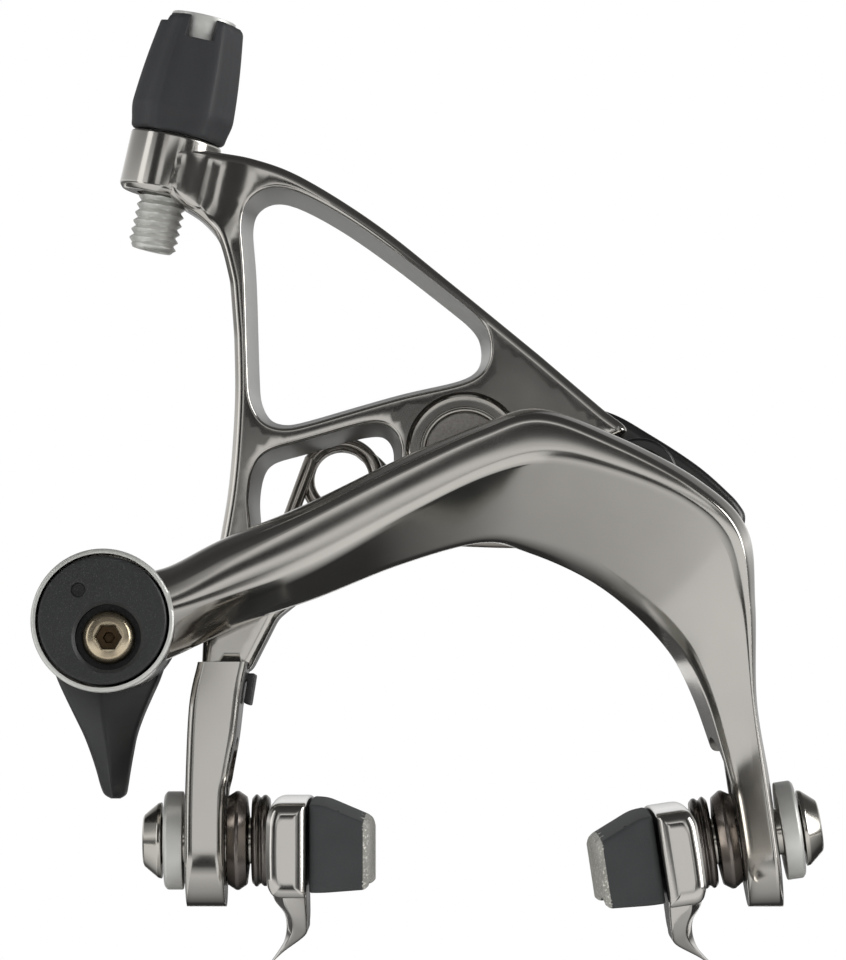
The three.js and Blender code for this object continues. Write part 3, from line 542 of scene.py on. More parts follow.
def rearFront(x, z):
    across, up = fromAdjuster(x, z)
    near = step(up, 1, 6.5)
    radius = adjuster["bossRadius"] + 0.02
    tube = adjuster["foot"][1] - math.sqrt(max(radius ** 2 - min(abs(across), radius - 0.1) ** 2, 0))
    flat = rearArm["front"] + rearArm["valley"] * near * math.exp(-((across - 5.6) / 3.0) ** 2)
    if across < 0:
        return max(tube, rearArm["front"]) + 0.1 if up > 3 else flat
    soft = 0.9
    share = min(max(0.5 + (flat - tube) / (2 * soft), 0), 1)
    joined = flat * (1 - share) + tube * share - soft * share * (1 - share) * step(across, 0, 2)
    joined += 0.1 - 0.15 * step(across, 0, 0.8)
    return joined * near + flat * (1 - near)


def makeRearArm(a):
    body = [(-36.6, 36.2), (-36.8, 33.5), (-36.0, 31.5)]
    body += smoothCurve([(-34.6, 30.0), (-33.0, 28.9), (-30.8, 27.4), (-28.7, 24.7), (-27.4, 19.9)], 24)
    body += smoothCurve([(-26.9, 13.5), (-26.8, 5.9), (-27.4, -3.3), (-28.6, -11), (-30.4, -21)], 30)
    body += [(-30.6, -25.9), (-26.4, -25.9), (-24.9, -25.3)]
    body += smoothCurve([(-21.8, -19.2), (-17, -15.6), (-10, -11.6), (-4, -9.5)], 18)
    body += smoothCurve([(1, -9), (4.6, -7.6), (7.2, -5.6)], 8)
    body += [(8.4, -4.5), (12.6, -4.4)]
    body += smoothCurve([(14.2, -3), (15.4, -0.8), (16.8, 1)], 6)
    body += [(19, 2.3), (18.5, 3.1), (16.4, 4.6)]
    body += smoothCurve([(8.7, 11.2), (-1.8, 19.8), (-10.5, 26.7), (-19.1, 32.1), (-24.9, 34.3),
                         (-29.3, 35.2)], 40)
    upper = smoothCurve([(-25.3, 11.7), (-25.6, 20.9), (-26.1, 26.5)], 12)
    upper += smoothCurve([(-25.7, 28.9), (-23.6, 30.6), (-20.3, 30.6), (-14.5, 27.7), (-7.6, 22.9),
                          (1.2, 16)], 36)
    upper += smoothCurve([(2.7, 14.2), (2.9, 10.6), (0.6, 8.2), (-7.6, 6.2), (-18, 3.2)], 30)
    upper += smoothCurve([(-20.8, 2.5), (-23.6, 3.3), (-25.1, 6.2)], 12)
    lower = smoothCurve([(-25.2, -6), (-24.8, -2.6), (-23.4, -0.2), (-19.1, 1.1), (-12.2, 3.1)], 24)
    lower += smoothCurve([(-9.4, 3.4), (-7.7, 1.8), (-7.4, -1.2), (-9, -5.4), (-14, -9.4)], 24)
    lower += smoothCurve([(-18, -11.6), (-22, -13), (-24.6, -11.6)], 12)
    arm = solid("rear_arm_forged", plateMesh(body, [upper, lower], rearFront, lambda x, z: a["back"],
                                             a["edge"], draft=a["windowDraft"]))
    wide, foot, top, seat = (adjuster[key] for key in ("bossRadius", "bossFoot", "bossTop", "bossSeat"))
    seatRadius = adjuster["seatRadius"]
    bossProfile = softened([[0, foot], [wide - 0.5, foot], [wide, foot + 0.6], [wide, top], [seatRadius, top],
                            [seatRadius, seat], [0, seat]], 0.3)
    boss = spun("boss", bossProfile, 128, onAdjuster)
    combine(arm, [boss, makeLeftLeg(a)], "UNION")
    bore = adjuster["threadRadius"] + 0.3
    threadHole = spun("tool", [[0, 0], [bore, 0], [bore, 20], [0, 20]], 64, onAdjuster)
    recess, floor = centre["recessRadius"], centre["recessFloor"]
    rim = spun("tool", [[0, -19], [recess + 0.9, -19], [recess + 0.5, -17.95], [recess, -17.5],
                        [recess, floor], [0, floor]], 128, alongY(0, 0))
    combine(arm, [threadHole, cylinder(5.2, 0, -20, (0, 0)), rim, slotTool(leftPad), washerFlat(leftPad)],
            "DIFFERENCE")
    finishPiece(arm, anodisedArm, "rear_arm", "anodised_arm", "rear_arm")
    arm.data.materials.append(windowWall)
    borders = [pair for window in (upper, lower) for pair in zip(window, window[1:] + window[:1])]
    for polygon in arm.data.polygons:
        if abs(polygon.normal.y) < 0.5 and covered(polygon.center.xz / mm, borders):
            polygon.material_index = 1
    return arm


def roundFoot(vertices, middle, radius, bottom):  # a leg ends in a half round, seen from the side
    top, power = bottom + radius, rearArm["footPower"]
    for vertex in vertices:
        if vertex.z < top:
            shrink = max(1 - ((top - vertex.z) / radius) ** power, 0) ** (1 / power)
            vertex.y = middle + (vertex.y - middle) * max(shrink, 0.02)


def acrossAt(line, z):  # X where a line that runs downward passes a height
    for a, b in zip(line, line[1:]):
        if b.y <= z:
            return a.x + (b.x - a.x) * (a.y - z) / max(a.y - b.y, 1e-9)
    return line[-1].x


def makeLeftLeg(a):
    left = smoothCurve([(-30.9, -25), (-31.8, -29.5), (-32.2, -38), (-32.3, -46), (-32.2, -52.8)], 60)
    right = smoothCurve([(-25.2, -25), (-25.8, -28), (-26.4, -33), (-27.2, -37.6), (-27.7, -41),
                         (-27.7, -52.8)], 60)
    sections = []
    heights = [-24.6 - 21.2 * i / 40 for i in range(41)]
    heights += [-45.8 - 7.0 * math.sin(math.pi / 2 * i / 24) for i in range(1, 25)]
    for z in heights:
        x = [acrossAt(line, z) for line in (left, right)]
        corners = [(x[0], a["legFront"], z), (x[1], a["legFront"], z), (x[1], a["legBack"], z),
                   (x[0], a["legBack"], z)]
        sections.append(softened(corners, a["legEdge"], closed=True, steps=6))
    shape = loftMesh(sections)
    roundFoot(shape[0], (a["legFront"] + a["legBack"]) / 2, a["footRadius"], a["legFoot"])
    return solid("leg", shape)


# Pads: each stack is built on its bolt, +X towards the rim

padSet = {"boltY": -16.0, "bolt": 2.7, "head": 2.2, "washer": 2.2, "legHalf": 2.35, "gap": 0.3,
          "slotRadius": 3.3, "slotUp": 6.0, "slotDown": 2.0, "flatRadius": 6.0, "rimRadius": 311.0,
          "holderDepth": 4.6, "holderHalf": 5.3, "padDepth": 6.7, "padBase": 4.75, "padFace": 3.5}
leftPad = {"side": "left", "x": -30.0, "z": -45.15, "lean": 0.0, "facing": 1}
rightPad = {"side": "right", "x": 33.9, "z": -44.5, "lean": 8.6, "facing": -1}


def onPad(pad):
    place = Matrix.Translation((pad["x"], padSet["boltY"], pad["z"]))
    lean = Matrix.Rotation(math.radians(-pad["lean"]), 4, "Y")
    return place @ lean @ Matrix.Diagonal((pad["facing"], 1, 1, 1))


def slotTool(pad, radius=padSet["slotRadius"], near=-8):
    loop = arcPoints((0, padSet["slotUp"]), radius, 0, 180, 24)
    loop += arcPoints((0, -padSet["slotDown"]), radius, 180, 360, 24)
    sections = [[Vector((x, point.x, point.y)) for point in loop] for x in (near, 8)]
    return solid("tool", moved(loftMesh(sections), onPad(pad)))


def washerFlat(pad):  # a flat pocket round the slot, for the washer to slide on
    return slotTool(pad, padSet["flatRadius"], padSet["legHalf"] + 0.03)


makeRearArm(rearArm)
print("rear arm made")


# Front arm, from the eye over the arch to the right foot

frontArm = {"eye": (-41.25, -20.1), "eyeRadius": 8.2, "face": -31, "eyeBack": -20.2, "camHole": 7.65,
            "stations": 210, "cornerSteps": 7}
rails = {  # one point per station on every rail
    "topBack": [(-38, -20.6, -15), (-34, -20.6, -13.9), (-28, -19.2, -10.8), (-18.9, -19, -6.9),
                (-7.5, -19, -1.4), (1.7, -19, 2.5), (8.5, -19, 4.3), (17.7, -19, 1), (26.8, -19, -3.9),
                (32.1, -17, -9.6), (33.1, -13.5, -18), (33.4, -12, -29), (34.9, -11, -38.2),
                (36.2, -10.5, -47.4), (36.7, -10.5, -52.8)],
    "topFront": [(-38, -27, -14.4), (-34, -27, -13.6), (-28, -27.4, -10.6), (-18.9, -27.6, -6.9),
                 (-7.5, -27.6, -1.4), (1.7, -27.6, 2.5), (8.5, -27.6, 4.3), (17.7, -27.6, 1),
                 (26.8, -27.6, -3.9), (32.3, -27, -9.4), (33.3, -25.5, -18), (33.5, -24, -29),
                 (35, -22.8, -38.2), (36.3, -22, -47.4), (36.8, -21.6, -52.8)],
    "upperRidge": [(-38, -30.2, -16.4), (-34, -30.4, -15.3), (-27.5, -30.8, -12.2), (-18.4, -31, -8.1),
                   (-7.4, -31, -2.7), (1.9, -31, 1.5), (8.7, -31, 3.3), (17.2, -31, 0.2), (26.1, -30.8, -4.8),
                   (31.2, -30, -10), (32.6, -28, -18), (33.1, -26.2, -29), (34.5, -24.8, -38.2),
                   (35.8, -24, -47.3), (36.3, -23.5, -52.8)],
    "lowerRidge": [(-38, -30.8, -19.8), (-33, -31, -19.4), (-25.5, -31, -17.3), (-17, -31, -14),
                   (-6, -31, -7.7), (3, -31, -3.2), (9.6, -31, -1.6), (17, -31, -3.1), (25, -30.8, -6.4),
                   (29.8, -30, -10.8), (31.4, -28, -18), (32.6, -26.2, -29), (33.9, -24.8, -38.2),
                   (35.1, -24, -47.2), (35.8, -23.5, -52.8)],
    "lowerFront": [(-38, -27, -26.4), (-33, -26, -24), (-25, -23.6, -20.2), (-17, -22, -17.3),
                   (-7.5, -22, -13.5), (1.7, -22, -10.9), (7.6, -22, -11.3), (14.2, -22, -13.5),
                   (20.1, -22.4, -17.8), (24.7, -23, -22.6), (27.3, -23.6, -27.6), (29.3, -23.8, -34),
                   (30.9, -23.6, -40.4), (32, -23, -47.5), (32.8, -22.6, -52.8)],
    "lowerBack": [(-38, -20.6, -26.2), (-33, -20.6, -23.6), (-24.5, -19.1, -19.6), (-17, -19, -17),
                  (-7.5, -19, -13.2), (1.7, -19, -10.8), (7.6, -19, -12.2), (14.4, -19, -15.4),
                  (19.6, -19, -19.4), (23.8, -17, -23.9), (26.4, -14, -28.6), (28.6, -12, -34.4),
                  (30.8, -11, -40.6), (32, -10.5, -47.5), (32.8, -10.5, -52.8)],
}


def frontSection(lines, i, share):  # share runs 0 at the eye to 1 at the foot
    nearEye = 1 - step(share, 0.1, 0.3)
    corners = [line[i] for line in lines]
    crown = (corners[2] + corners[3]) / 2 - Vector((0, 0.08 + 0.27 * (1 - step(share, 0.15, 0.45)), 0))
    corners.insert(3, crown)
    radii = [0.8, 1.2 + nearEye * 1.4, 0.9 + nearEye * 0.5, 1.6, 1.0 + nearEye * 1.4,
             1.4 + nearEye * 1.6, 0.8]
    return softened(corners, radii, closed=True, steps=frontArm["cornerSteps"])


def makeFrontArm(a):
    lines = [smoothCurve(rail, a["stations"]) for rail in rails.values()]
    sections = [frontSection(lines, i, i / a["stations"]) for i in range(a["stations"] + 1)]
    shape = loftMesh(sections)
    roundFoot(shape[0], -17.0, 6.5, rearArm["legFoot"])
    arm = solid("front_arm_forged", shape)
    ring = [[0, a["face"]], [a["eyeRadius"], a["face"]], [a["eyeRadius"], a["eyeBack"]], [0, a["eyeBack"]]]
    eye = spun("eye", softened(ring, 0.45), 160, alongY(*a["eye"]))
    combine(arm, [eye], "UNION")
    combine(arm, [cylinder(a["camHole"], 0, -40, a["eye"], 160), cylinder(2.35, 0, -27.3, sidePivot),
                  cylinder(1.5, 0, -24.3, rollerAxis), slotTool(rightPad), washerFlat(rightPad)],
            "DIFFERENCE")
    finishPiece(arm, anodisedArm, "front_arm", "anodised_arm", "front_arm")
    arm.data.materials.append(satinAluminium)
    for polygon in arm.data.polygons:  # the eye's rim is machined bright
        away = (polygon.center.xz / mm - Vector(a["eye"])).length
        if a["camHole"] - 0.05 < away < a["eyeRadius"] + 0.02 and polygon.center.y < (a["face"] + 0.5) * mm:
            polygon.material_index = 1
    return arm


makeFrontArm(frontArm)
print("front arm made")


# Cable adjuster

def makeAdjuster(a):
    head = a["gripBore"] - 0.3
    rows = [[1.1, 0], [a["threadRadius"] - 0.6, 0]]
    rows += threadedProfile(0.35, a["gripFoot"] - 0.2, a["threadRadius"], a["pitch"])
    rows += [[head, a["gripFoot"]], [head, a["ferruleSeat"] - 0.3], [1.1, a["ferruleSeat"] - 0.3]]
    cut = threadShape(0, a["gripFoot"] + 3, a["threadRadius"], a["pitch"], 0.5, 0.7)
    barrel = spun("adjuster_barrel_threaded", rows, 96, onAdjuster, True,
                  lambda r, h, t: cut(r, h, t) if abs(r - a["threadRadius"]) < 1e-6 else (r, h))
    finishPiece(barrel, satinAluminium, "adjuster", "satin_aluminium", "adjuster_barrel", sharp=50)
    turnedPiece("detent_ring_moulded", [[3.2, 12.9], [4.6, 12.9], [4.6, 13.4], [3.2, 13.4]], onAdjuster,
                gripRubber, "rear_arm", "grip_rubber", "detent_ring", 0.1)
    ferrule = [[1.1, 21], [3.5, 21], [3.5, 26.0], [3.8, 27.2], [3.8, 28.1], [2.6, 28.1], [2.6, 22.2],
               [1.1, 22.2]]
    turnedPiece("housing_ferrule_turned", ferrule, onAdjuster, satinAluminium, "adjuster_thread",
                "satin_aluminium", "housing_ferrule")


grip = {"ribs": 6, "firstRib": -26.0, "panelDepth": 0.62, "skirt": 3.2, "notchHalf": 21.0,
        "notches": {4.0: 2.6, 184.0: 2.6, 274.0: 0.9}}


def gripShape(radius, height, angle):
    a, g = adjuster, grip
    facing = math.degrees(angle) + 90  # 0 at the front
    for notch, depth in g["notches"].items():
        apart = abs((facing - notch + 180) % 360 - 180)
        if apart < g["notchHalf"]:
            height = min(height, a["gripTop"] - depth)
    if radius <= a["gripBore"] + 0.01:
        return radius, height
    ribs = math.cos(math.radians(g["ribs"] * (facing - g["firstRib"])))
    panel = (1 - ribs) / 2
    up = (height - a["gripFoot"]) / (a["gripTop"] - a["gripFoot"])
    wave = 0.25 * panel * (1 - step(height, a["gripFoot"] + 1.5, a["gripFoot"] + g["skirt"]))
    return radius - g["panelDepth"] * panel ** 0.7 * (0.6 + 0.4 * step(up, 0.05, 0.3)) - wave, height


def makeGrip(a):
    foot, top = a["gripFoot"], a["gripTop"]
    taper = (a["gripTopRadius"] - a["gripFootRadius"]) / (top - foot)
    rows = [[a["gripBore"], foot], [5.3, foot], [5.55, foot + 0.25]]
    for i in range(34):
        height = foot + 0.5 + (top - foot - 1.1) * i / 33
        flare = 0.6 * (1 - step(height, foot, foot + grip["skirt"])) + 0.1
        bulge = 0.25 * math.sin(math.pi * (height - foot) / (top - foot))
        rows.append([a["gripFootRadius"] - flare + bulge + taper * (height - foot), height])
    rows += [[a["gripTopRadius"] - 0.15, top - 0.3], [a["gripTopRadius"] - 0.45, top], [a["gripBore"], top]]
    rows += [[a["gripBore"], top - (top - foot) * i / 20] for i in range(1, 20)]
    shape = revolve(rows, 360, True, gripShape)
    piece = solid("adjuster_grip_moulded", moved(shape, onAdjuster), weld=0.004)
    return finishPiece(piece, gripRubber, "adjuster", "grip_rubber", "adjuster_grip", sharp=40)


makeAdjuster(adjuster)
makeGrip(adjuster)
print("adjuster made")


# Quick release and cable anchor

release = {"camRadius": 7.35, "camFront": -31.3, "neck": 5.2, "leverFront": -19.2, "leverBack": -14.0,
           "hubRadius": 8.1, "anchor": (-40.6, -22.0), "screwRadius": 3.07, "recess": 3.75,
           "recessDepth": 2.4, "dimple": (-44, -16.65), "shank": 2.4}


def makeRelease(r):
    eye = frontArm["eye"]
    profile = [[0, r["camFront"]], [r["camRadius"], r["camFront"]], [r["camRadius"], -20.5],
               [r["neck"], -20.5], [r["neck"], -19.5], [0, -19.5]]
    cam = spun("release_cam_moulded", softened(profile, 0.45), 160, alongY(*eye))
    wide, front, floor = r["recess"], r["camFront"], r["camFront"] + r["recessDepth"]
    well = spun("tool", [[0, -33], [wide + 0.5, -33], [wide + 0.4, front], [wide, front + 0.4], [wide, floor],
                         [0, floor]], 96, alongY(*r["anchor"]))
    dimple = spun("tool", [[0, -32.5], [1.0, -32.5], [0.85, -31.25], [0.75, -30.6], [0, -30.5]], 32,
                  alongY(*r["dimple"]))
    combine(cam, [well, cylinder(r["shank"] + 0.3, 0, -40, r["anchor"]), dimple], "DIFFERENCE")
    finishPiece(cam, blackNylon, "release", "black_nylon", "release_cam")
    turnedPiece("release_washer_turned", ringProfile(5.5, 7.8, -19.5, -19.9), alongY(*eye),
                polishedSteel, "front_arm", "bolt_steel", "release_washer", 0.08)


leverStations = [  # down the lever: middle X, half width, Z, and how far the ridge stands forward
    (-41.4, 6.6, -24.6, 0.0), (-41.4, 5.9, -26.6, 0.0), (-41.4, 5.0, -28.6, 0.5), (-41.35, 4.0, -30.8, 0.9),
    (-41.2, 3.1, -33.0, 1.1), (-41.0, 2.45, -35.2, 1.1), (-40.85, 1.95, -37.2, 1.0),
    (-40.75, 1.6, -38.8, 0.9), (-40.65, 1.25, -39.8, 0.7), (-40.6, 0.5, -40.3, 0.4)]


def makeLever(r):
    hub = [[0, r["leverFront"]], [r["hubRadius"], r["leverFront"]], [r["hubRadius"], r["leverBack"]],
           [0, r["leverBack"]]]
    lever = spun("release_lever_moulded", softened(hub, 0.9), 128, alongY(*frontArm["eye"]))
    sections = []
    front, back = r["leverFront"], r["leverBack"]
    for middle, half, z, ridge in smoothCurve(leverStations, 60):
        bend = step(-z, 26, 34)
        corners = [(middle - half, back - 0.2, z), (middle - half, front + 1.2 + bend, z),
                   (middle - half * 0.15, front + 0.35 - ridge * 0.3, z),
                   (middle + half * 0.95, front + 1.6 + bend, z), (middle + half, back - 0.2, z)]
        sections.append(softened(corners, [0.5, 0.7, 0.35, 0.6, 0.5], closed=True, steps=4))
    handle = solid("handle", loftMesh(sections))
    combine(lever, [handle], "UNION")
    combine(lever, [cylinder(r["shank"] + 0.3, 0, -40, r["anchor"])], "DIFFERENCE")
    return finishPiece(lever, smoothNylon, "release", "black_nylon", "release_lever")


def makeAnchor(r):
    x, z = r["anchor"]
    face = r["camFront"] + 0.5
    domed = [[0, face - 0.45], [1.7, face - 0.42], [2.4, face - 0.2], [2.9, face + 0.25],
             [r["screwRadius"], face + 0.9], [r["screwRadius"], face + 1.6], [r["shank"], face + 1.6],
             [r["shank"], -7.2], [0, -7.2]]
    screw = spun("anchor_screw_turned", softened(domed, 0.15), 96, alongY(x, z))
    key = 1.25 / math.cos(math.radians(30))
    socket = spun("tool", [[0, -34], [key + 0.5, -34], [key + 0.22, face - 0.44], [key, face - 0.2],
                           [key, face + 1.6], [0.7, face + 1.7], [0.6, face + 2.6], [0, face + 2.8]], 6,
                  alongY(x, z))
    combine(screw, [socket], "DIFFERENCE")
    finishPiece(screw, champagneSteel, "anchor", "champagne_screw", "anchor_screw")
    screw.data.materials.append(shadedSocketSteel)
    for polygon in screw.data.polygons:  # painted shade: the walls down the socket take the dark brown material
        away = (polygon.center.xz / mm - Vector(r["anchor"])).length
        if away < key + 0.02 and face < polygon.center.y / mm < face + 3:
            polygon.material_index = 1
    outline = softened([(x - 6.2, z - 3.2), (x - 5.2, z - 4.4), (x + 4.4, z - 4.4), (x + 5.2, z - 3.4),
                        (x + 5.2, z + 3.4), (x + 4.4, z + 4.4), (x - 5.2, z + 4.4), (x - 6.2, z + 3.2)],
                       0.6, True)
    hole = arcPoints(r["anchor"], 2.7, 0, 355, 71)
    plate = solid("cable_clamp_plate_pressed", plateMesh(outline, [hole], lambda x, z: -13.7,
                                                         lambda x, z: -11.7, 0.25, steps=3))
    groove = spun("tool", [[0, -9], [0.75, -9], [0.75, 9], [0, 9]], 24,
                  Matrix.Translation((x + 4.0, -13.7, z)))
    combine(plate, [groove], "DIFFERENCE")
    finishPiece(plate, polishedSteel, "anchor", "bolt_steel", "cable_clamp_plate")
    nutSide = 4.6
    nut = spun("anchor_nut_turned", [[0, -11.4], [nutSide, -11.4], [nutSide, -7.8], [0, -7.8]], 6,
               alongY(x, z))
    crowned = [[0, -11.5], [4.2, -11.5], [4.8, -11.0], [4.8, -8.2], [4.2, -7.7], [0, -7.7]]
    crown = spun("tool", softened(crowned, 0.1), 64, alongY(x, z))
    combine(nut, [crown], "INTERSECT")
    combine(nut, [cylinder(2.7, 0, -40, r["anchor"])], "DIFFERENCE")
    finishPiece(nut, polishedSteel, "anchor", "bolt_steel", "anchor_nut")


makeRelease(release)
makeLever(release)
makeAnchor(release)
print("quick release made")


# Return spring and its shoe

spring = {"wire": 0.85, "middle": (-14.6, -2.5), "radius": 4.1, "firstY": -6.6, "pitch": 1.75,
          "from": 158.0, "to": -663.0}
springFoot = [(-27.4, -6.6, -25.4), (-24.6, -6.6, -17.7), (-21.5, -6.6, -9.4)]
springExit = [(-9.6, -2.9, -1.6), (-7.0, -3.6, -5.4), (-4, -4.7, -9.4)]
springTail = [(-4, -4.7, -9.4), (3, -4.7, -9.7), (12, -4.7, -10), (20, -5.7, -11.4), (25.2, -9.1, -13.6),
              (26.6, -12.9, -14.2)]


def makeSpring(s):
    turning = s["to"] - s["from"]
    coilLine = []
    for i in range(121):
        angle = math.radians(s["from"] + turning * i / 120)
        y = s["firstY"] + s["pitch"] * abs(turning) / 360 * i / 120
        coilLine.append((s["middle"][0] + s["radius"] * math.cos(angle), y,
                         s["middle"][1] + s["radius"] * math.sin(angle)))
    route = smoothCurve(springFoot + coilLine + springExit, 380)
    coil = combine(solid("return_spring_coil", sweep(route, s["wire"])), [], "UNION")
    tail = solid("return_spring_tail", sweep(smoothCurve(springTail, 60), s["wire"] + 0.1))
    combine(tail, [], "UNION")
    for piece, other, start, end in ((coil, "rear_arm", (-9, 0, 0), (-24, 0, -12)),
                                     (tail, "front_arm", (2, 0, 0), (24, 0, 0))):
        piece.data.materials.clear()
        piece.data.materials.append(springSteel)
        piece.data.shade_smooth()
        piece.data.set_sharp_from_angle(angle=math.radians(50))
        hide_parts("return_spring")
        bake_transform(piece)


def makeShoe():
    outline = [(-32.1, -29.2), (-31.8, -29.2), (-31.25, -26.5), (-25.4, -26.5), (-25.85, -29.2),
               (-25.1, -29.4), (-24.5, -25.7), (-31.5, -25.7)]
    shoe = solid("spring_shoe_moulded", plateMesh(outline, [], lambda x, z: -14.0, lambda x, z: -6.15, 0.25,
                                                  spacing=0.15, grid=0.5, steps=3))
    return finishPiece(shoe, smoothNylon, "rear_arm", "black_nylon", "spring_shoe")


makeSpring(spring)
makeShoe()
print("spring made")


# Pad stacks

def bent(vertices):  # a long piece follows the rim
    for vertex in vertices:
        vertex.z -= vertex.y ** 2 / (2 * padSet["rimRadius"])


def alongRim(section, front, back, steps, ends=0.0):
    sections = []
    rows = [front + (back - front) * i / steps for i in range(steps + 1)]
    if ends:  # a rounded end, drawn in towards its middle
        rows = [front + ends * (1 - math.cos(math.pi / 2 * i / 5)) for i in range(5)] + \
               [row for row in rows if front + ends < row < back - ends] + \
               [back - ends * (1 - math.cos(math.pi / 2 * i / 5)) for i in range(4, -1, -1)]
    low = Vector((min(p[0] for p in section), min(p[1] for p in section)))
    high = Vector((max(p[0] for p in section), max(p[1] for p in section)))
    middle, half = (low + high) / 2, (high - low) / 2
    for y in rows:
        reach = min(y - front, back - y, ends) if ends else 0
        inset = ends - math.sqrt(max(ends ** 2 - (ends - reach) ** 2, 0)) if ends else 0
        sections.append([Vector((middle.x + (p[0] - middle.x) * (1 - inset / half.x), y,
                                 middle.y + (p[1] - middle.y) * (1 - inset / half.y))) for p in section])
    if ends:  # a small ring inside each end keeps it flat
        for at in (0, len(sections)):
            rim = sections[min(at, len(sections) - 1)]
            heart = sum(rim, Vector((0, 0, 0))) / len(rim)
            sections.insert(at, [heart.lerp(point, 0.85) for point in rim])
    shape = loftMesh(sections)
    bent(shape[0])
    return shape


def makePadStack(pad):
    side, p = pad["side"], padSet
    washerIn = -p["legHalf"] - p["gap"]
    washerOut = washerIn - p["washer"]
    headIn = washerOut - p["gap"]
    headOut = headIn - p["head"]
    concaveIn = p["legHalf"] + p["gap"]
    convexIn = concaveIn + 2.6
    holderIn = convexIn + 2.4
    padIn = holderIn + 4.9
    bore = p["bolt"] + p["gap"]
    place = onPad(pad)
    bolt = [[0, headOut + 0.05], [2.6, headOut], [3.0, headOut + 0.15], [4.35, headIn - 0.45], [4.45, headIn],
            [p["bolt"], headIn], [p["bolt"], padIn - 0.3], [0, padIn - 0.3]]
    alongBolt = place @ Matrix.Rotation(math.pi / 2, 4, "Y")
    head = spun("pad_bolt_" + side + "_turned", softened(bolt, 0.14), 96, alongBolt)
    hexagon = spun("tool", [[0, headOut - 1], [2.25, headOut - 1], [2.0, headOut + 0.3], [2.0, headOut + 1.9],
                            [0, headOut + 2.3]], 6, alongBolt)
    combine(head, [hexagon], "DIFFERENCE")
    finishPiece(head, polishedSteel, "carrier_" + side, "bolt_steel", "pad_bolt_" + side)
    outer = [[bore, washerOut], [5.3, washerOut], [5.7, washerOut + 0.35], [5.7, washerIn], [bore, washerIn]]
    turnedPiece("outer_washer_" + side + "_blasted", outer, alongBolt, satinAluminium, "carrier_" + side,
                "satin_aluminium", "outer_washer_" + side, 0.15)
    concave = [[bore, concaveIn - 0.2], [5.1, concaveIn - 0.2], [5.75, concaveIn + 0.8],
               [5.75, concaveIn + 1.15], [5.1, concaveIn + 2.1], [bore, concaveIn + 2.35]]
    turnedPiece("concave_washer_" + side + "_turned", concave, alongBolt, turnedNickel, "seat_" + side,
                "dark_nickel", "concave_washer_" + side)
    convex = [[bore, convexIn], [4.9, convexIn + 0.05], [5.35, convexIn + 0.45], [5.35, convexIn + 0.7],
              [4.95, convexIn + 1.05], [5.3, convexIn + 1.4], [5.3, convexIn + 1.75],
              [4.9, convexIn + 2.15], [bore, convexIn + 2.2]]
    turnedPiece("convex_washer_" + side + "_turned", convex, alongBolt, darkNickel, "pad_" + side,
                "dark_nickel", "convex_washer_" + side, 0.15)
    makeHolder(pad, holderIn, bore)
    makePad(pad, padIn)
    screw = [[0, -0.5], [0.55, -0.5], [0.55, -0.1], [1.2, -0.1], [1.2, 0.5], [0, 0.5]]
    spot = place @ Matrix.Translation((holderIn + 2.3, 0, -6.1))
    turnedPiece("pad_retainer_" + side + "_turned", screw, spot, polishedSteel, "pad_" + side,
                "bolt_steel", "pad_retainer_" + side, 0.08, False, 48)


def settle(body, pad):  # from its own frame to its place on the leg
    body.data.transform(Matrix.Scale(1 / mm, 4))
    body.data.transform(onPad(pad))
    body.data.transform(Matrix.Scale(mm, 4))
    if pad["facing"] < 0:
        body.data.flip_normals()


def makeHolder(pad, near, bore):
    side, far, half = pad["side"], near + padSet["holderDepth"], padSet["holderHalf"]
    channel = [(near + 0.9, -half), (far, -half), (far, half), (near + 0.9, half), (near + 0.1, half - 1.4),
               (near, 0), (near + 0.1, 1.4 - half)]
    section = softened(channel, [0.9, 0.35, 0.35, 0.9, 0.9, 1.5, 0.9], closed=True, steps=5)
    body = solid("pad_holder_" + side + "_cast", alongRim(section, -26, 26, 52, ends=1.3))
    hook = []
    inner = smoothCurve([(near + 0.5, -half + 0.9), (near + 0.9, -half - 0.6), (near + 2.0, -half - 2.2),
                         (near + 2.2, -half - 4.0), (near + 1.7, -half - 5.9), (near + 0.3, -half - 8.0)], 30)
    outer = smoothCurve([(far - 0.1, -half + 0.9), (far, -half - 1.5), (far, -half - 3.4),
                         (far - 0.3, -half - 4.7), (near + 1.9, -half - 6.6), (near + 0.35, -half - 8.1)], 30)
    for k, (a, b) in enumerate(zip(inner, outer)):
        t = k / 30
        reach = 10 * (1 - 0.55 * t ** 1.6)
        ridge = a.lerp(b, 0.35)
        frontY, backY = -14 - reach + 2.5 * t, -14 + reach - 2.5 * t
        bite = 2.6 * (1 - t)
        loop = [Vector((a.x, frontY + bite + 0.6, a.y)), Vector((ridge.x, frontY, ridge.y)),
                Vector((b.x, frontY + bite, b.y)), Vector((b.x, backY - bite, b.y)),
                Vector((ridge.x, backY, ridge.y)), Vector((a.x, backY - bite - 0.6, a.y))]
        hook.append(softened(loop, [0.5, 0.35, 0.5, 0.5, 0.35, 0.5], closed=True, steps=4))
    fin = loftMesh(hook)
    bent(fin[0])
    combine(body, [solid("fin", fin)], "UNION")
    hole = spun("tool", [[0, 0], [bore, 0], [bore, 40], [0, 40]], 64, Matrix.Rotation(math.pi / 2, 4, "Y"))
    combine(body, [hole], "DIFFERENCE")
    settle(body, pad)
    return finishPiece(body, holderMetal, "pad_" + side, "pad_holder", "pad_holder_" + side)


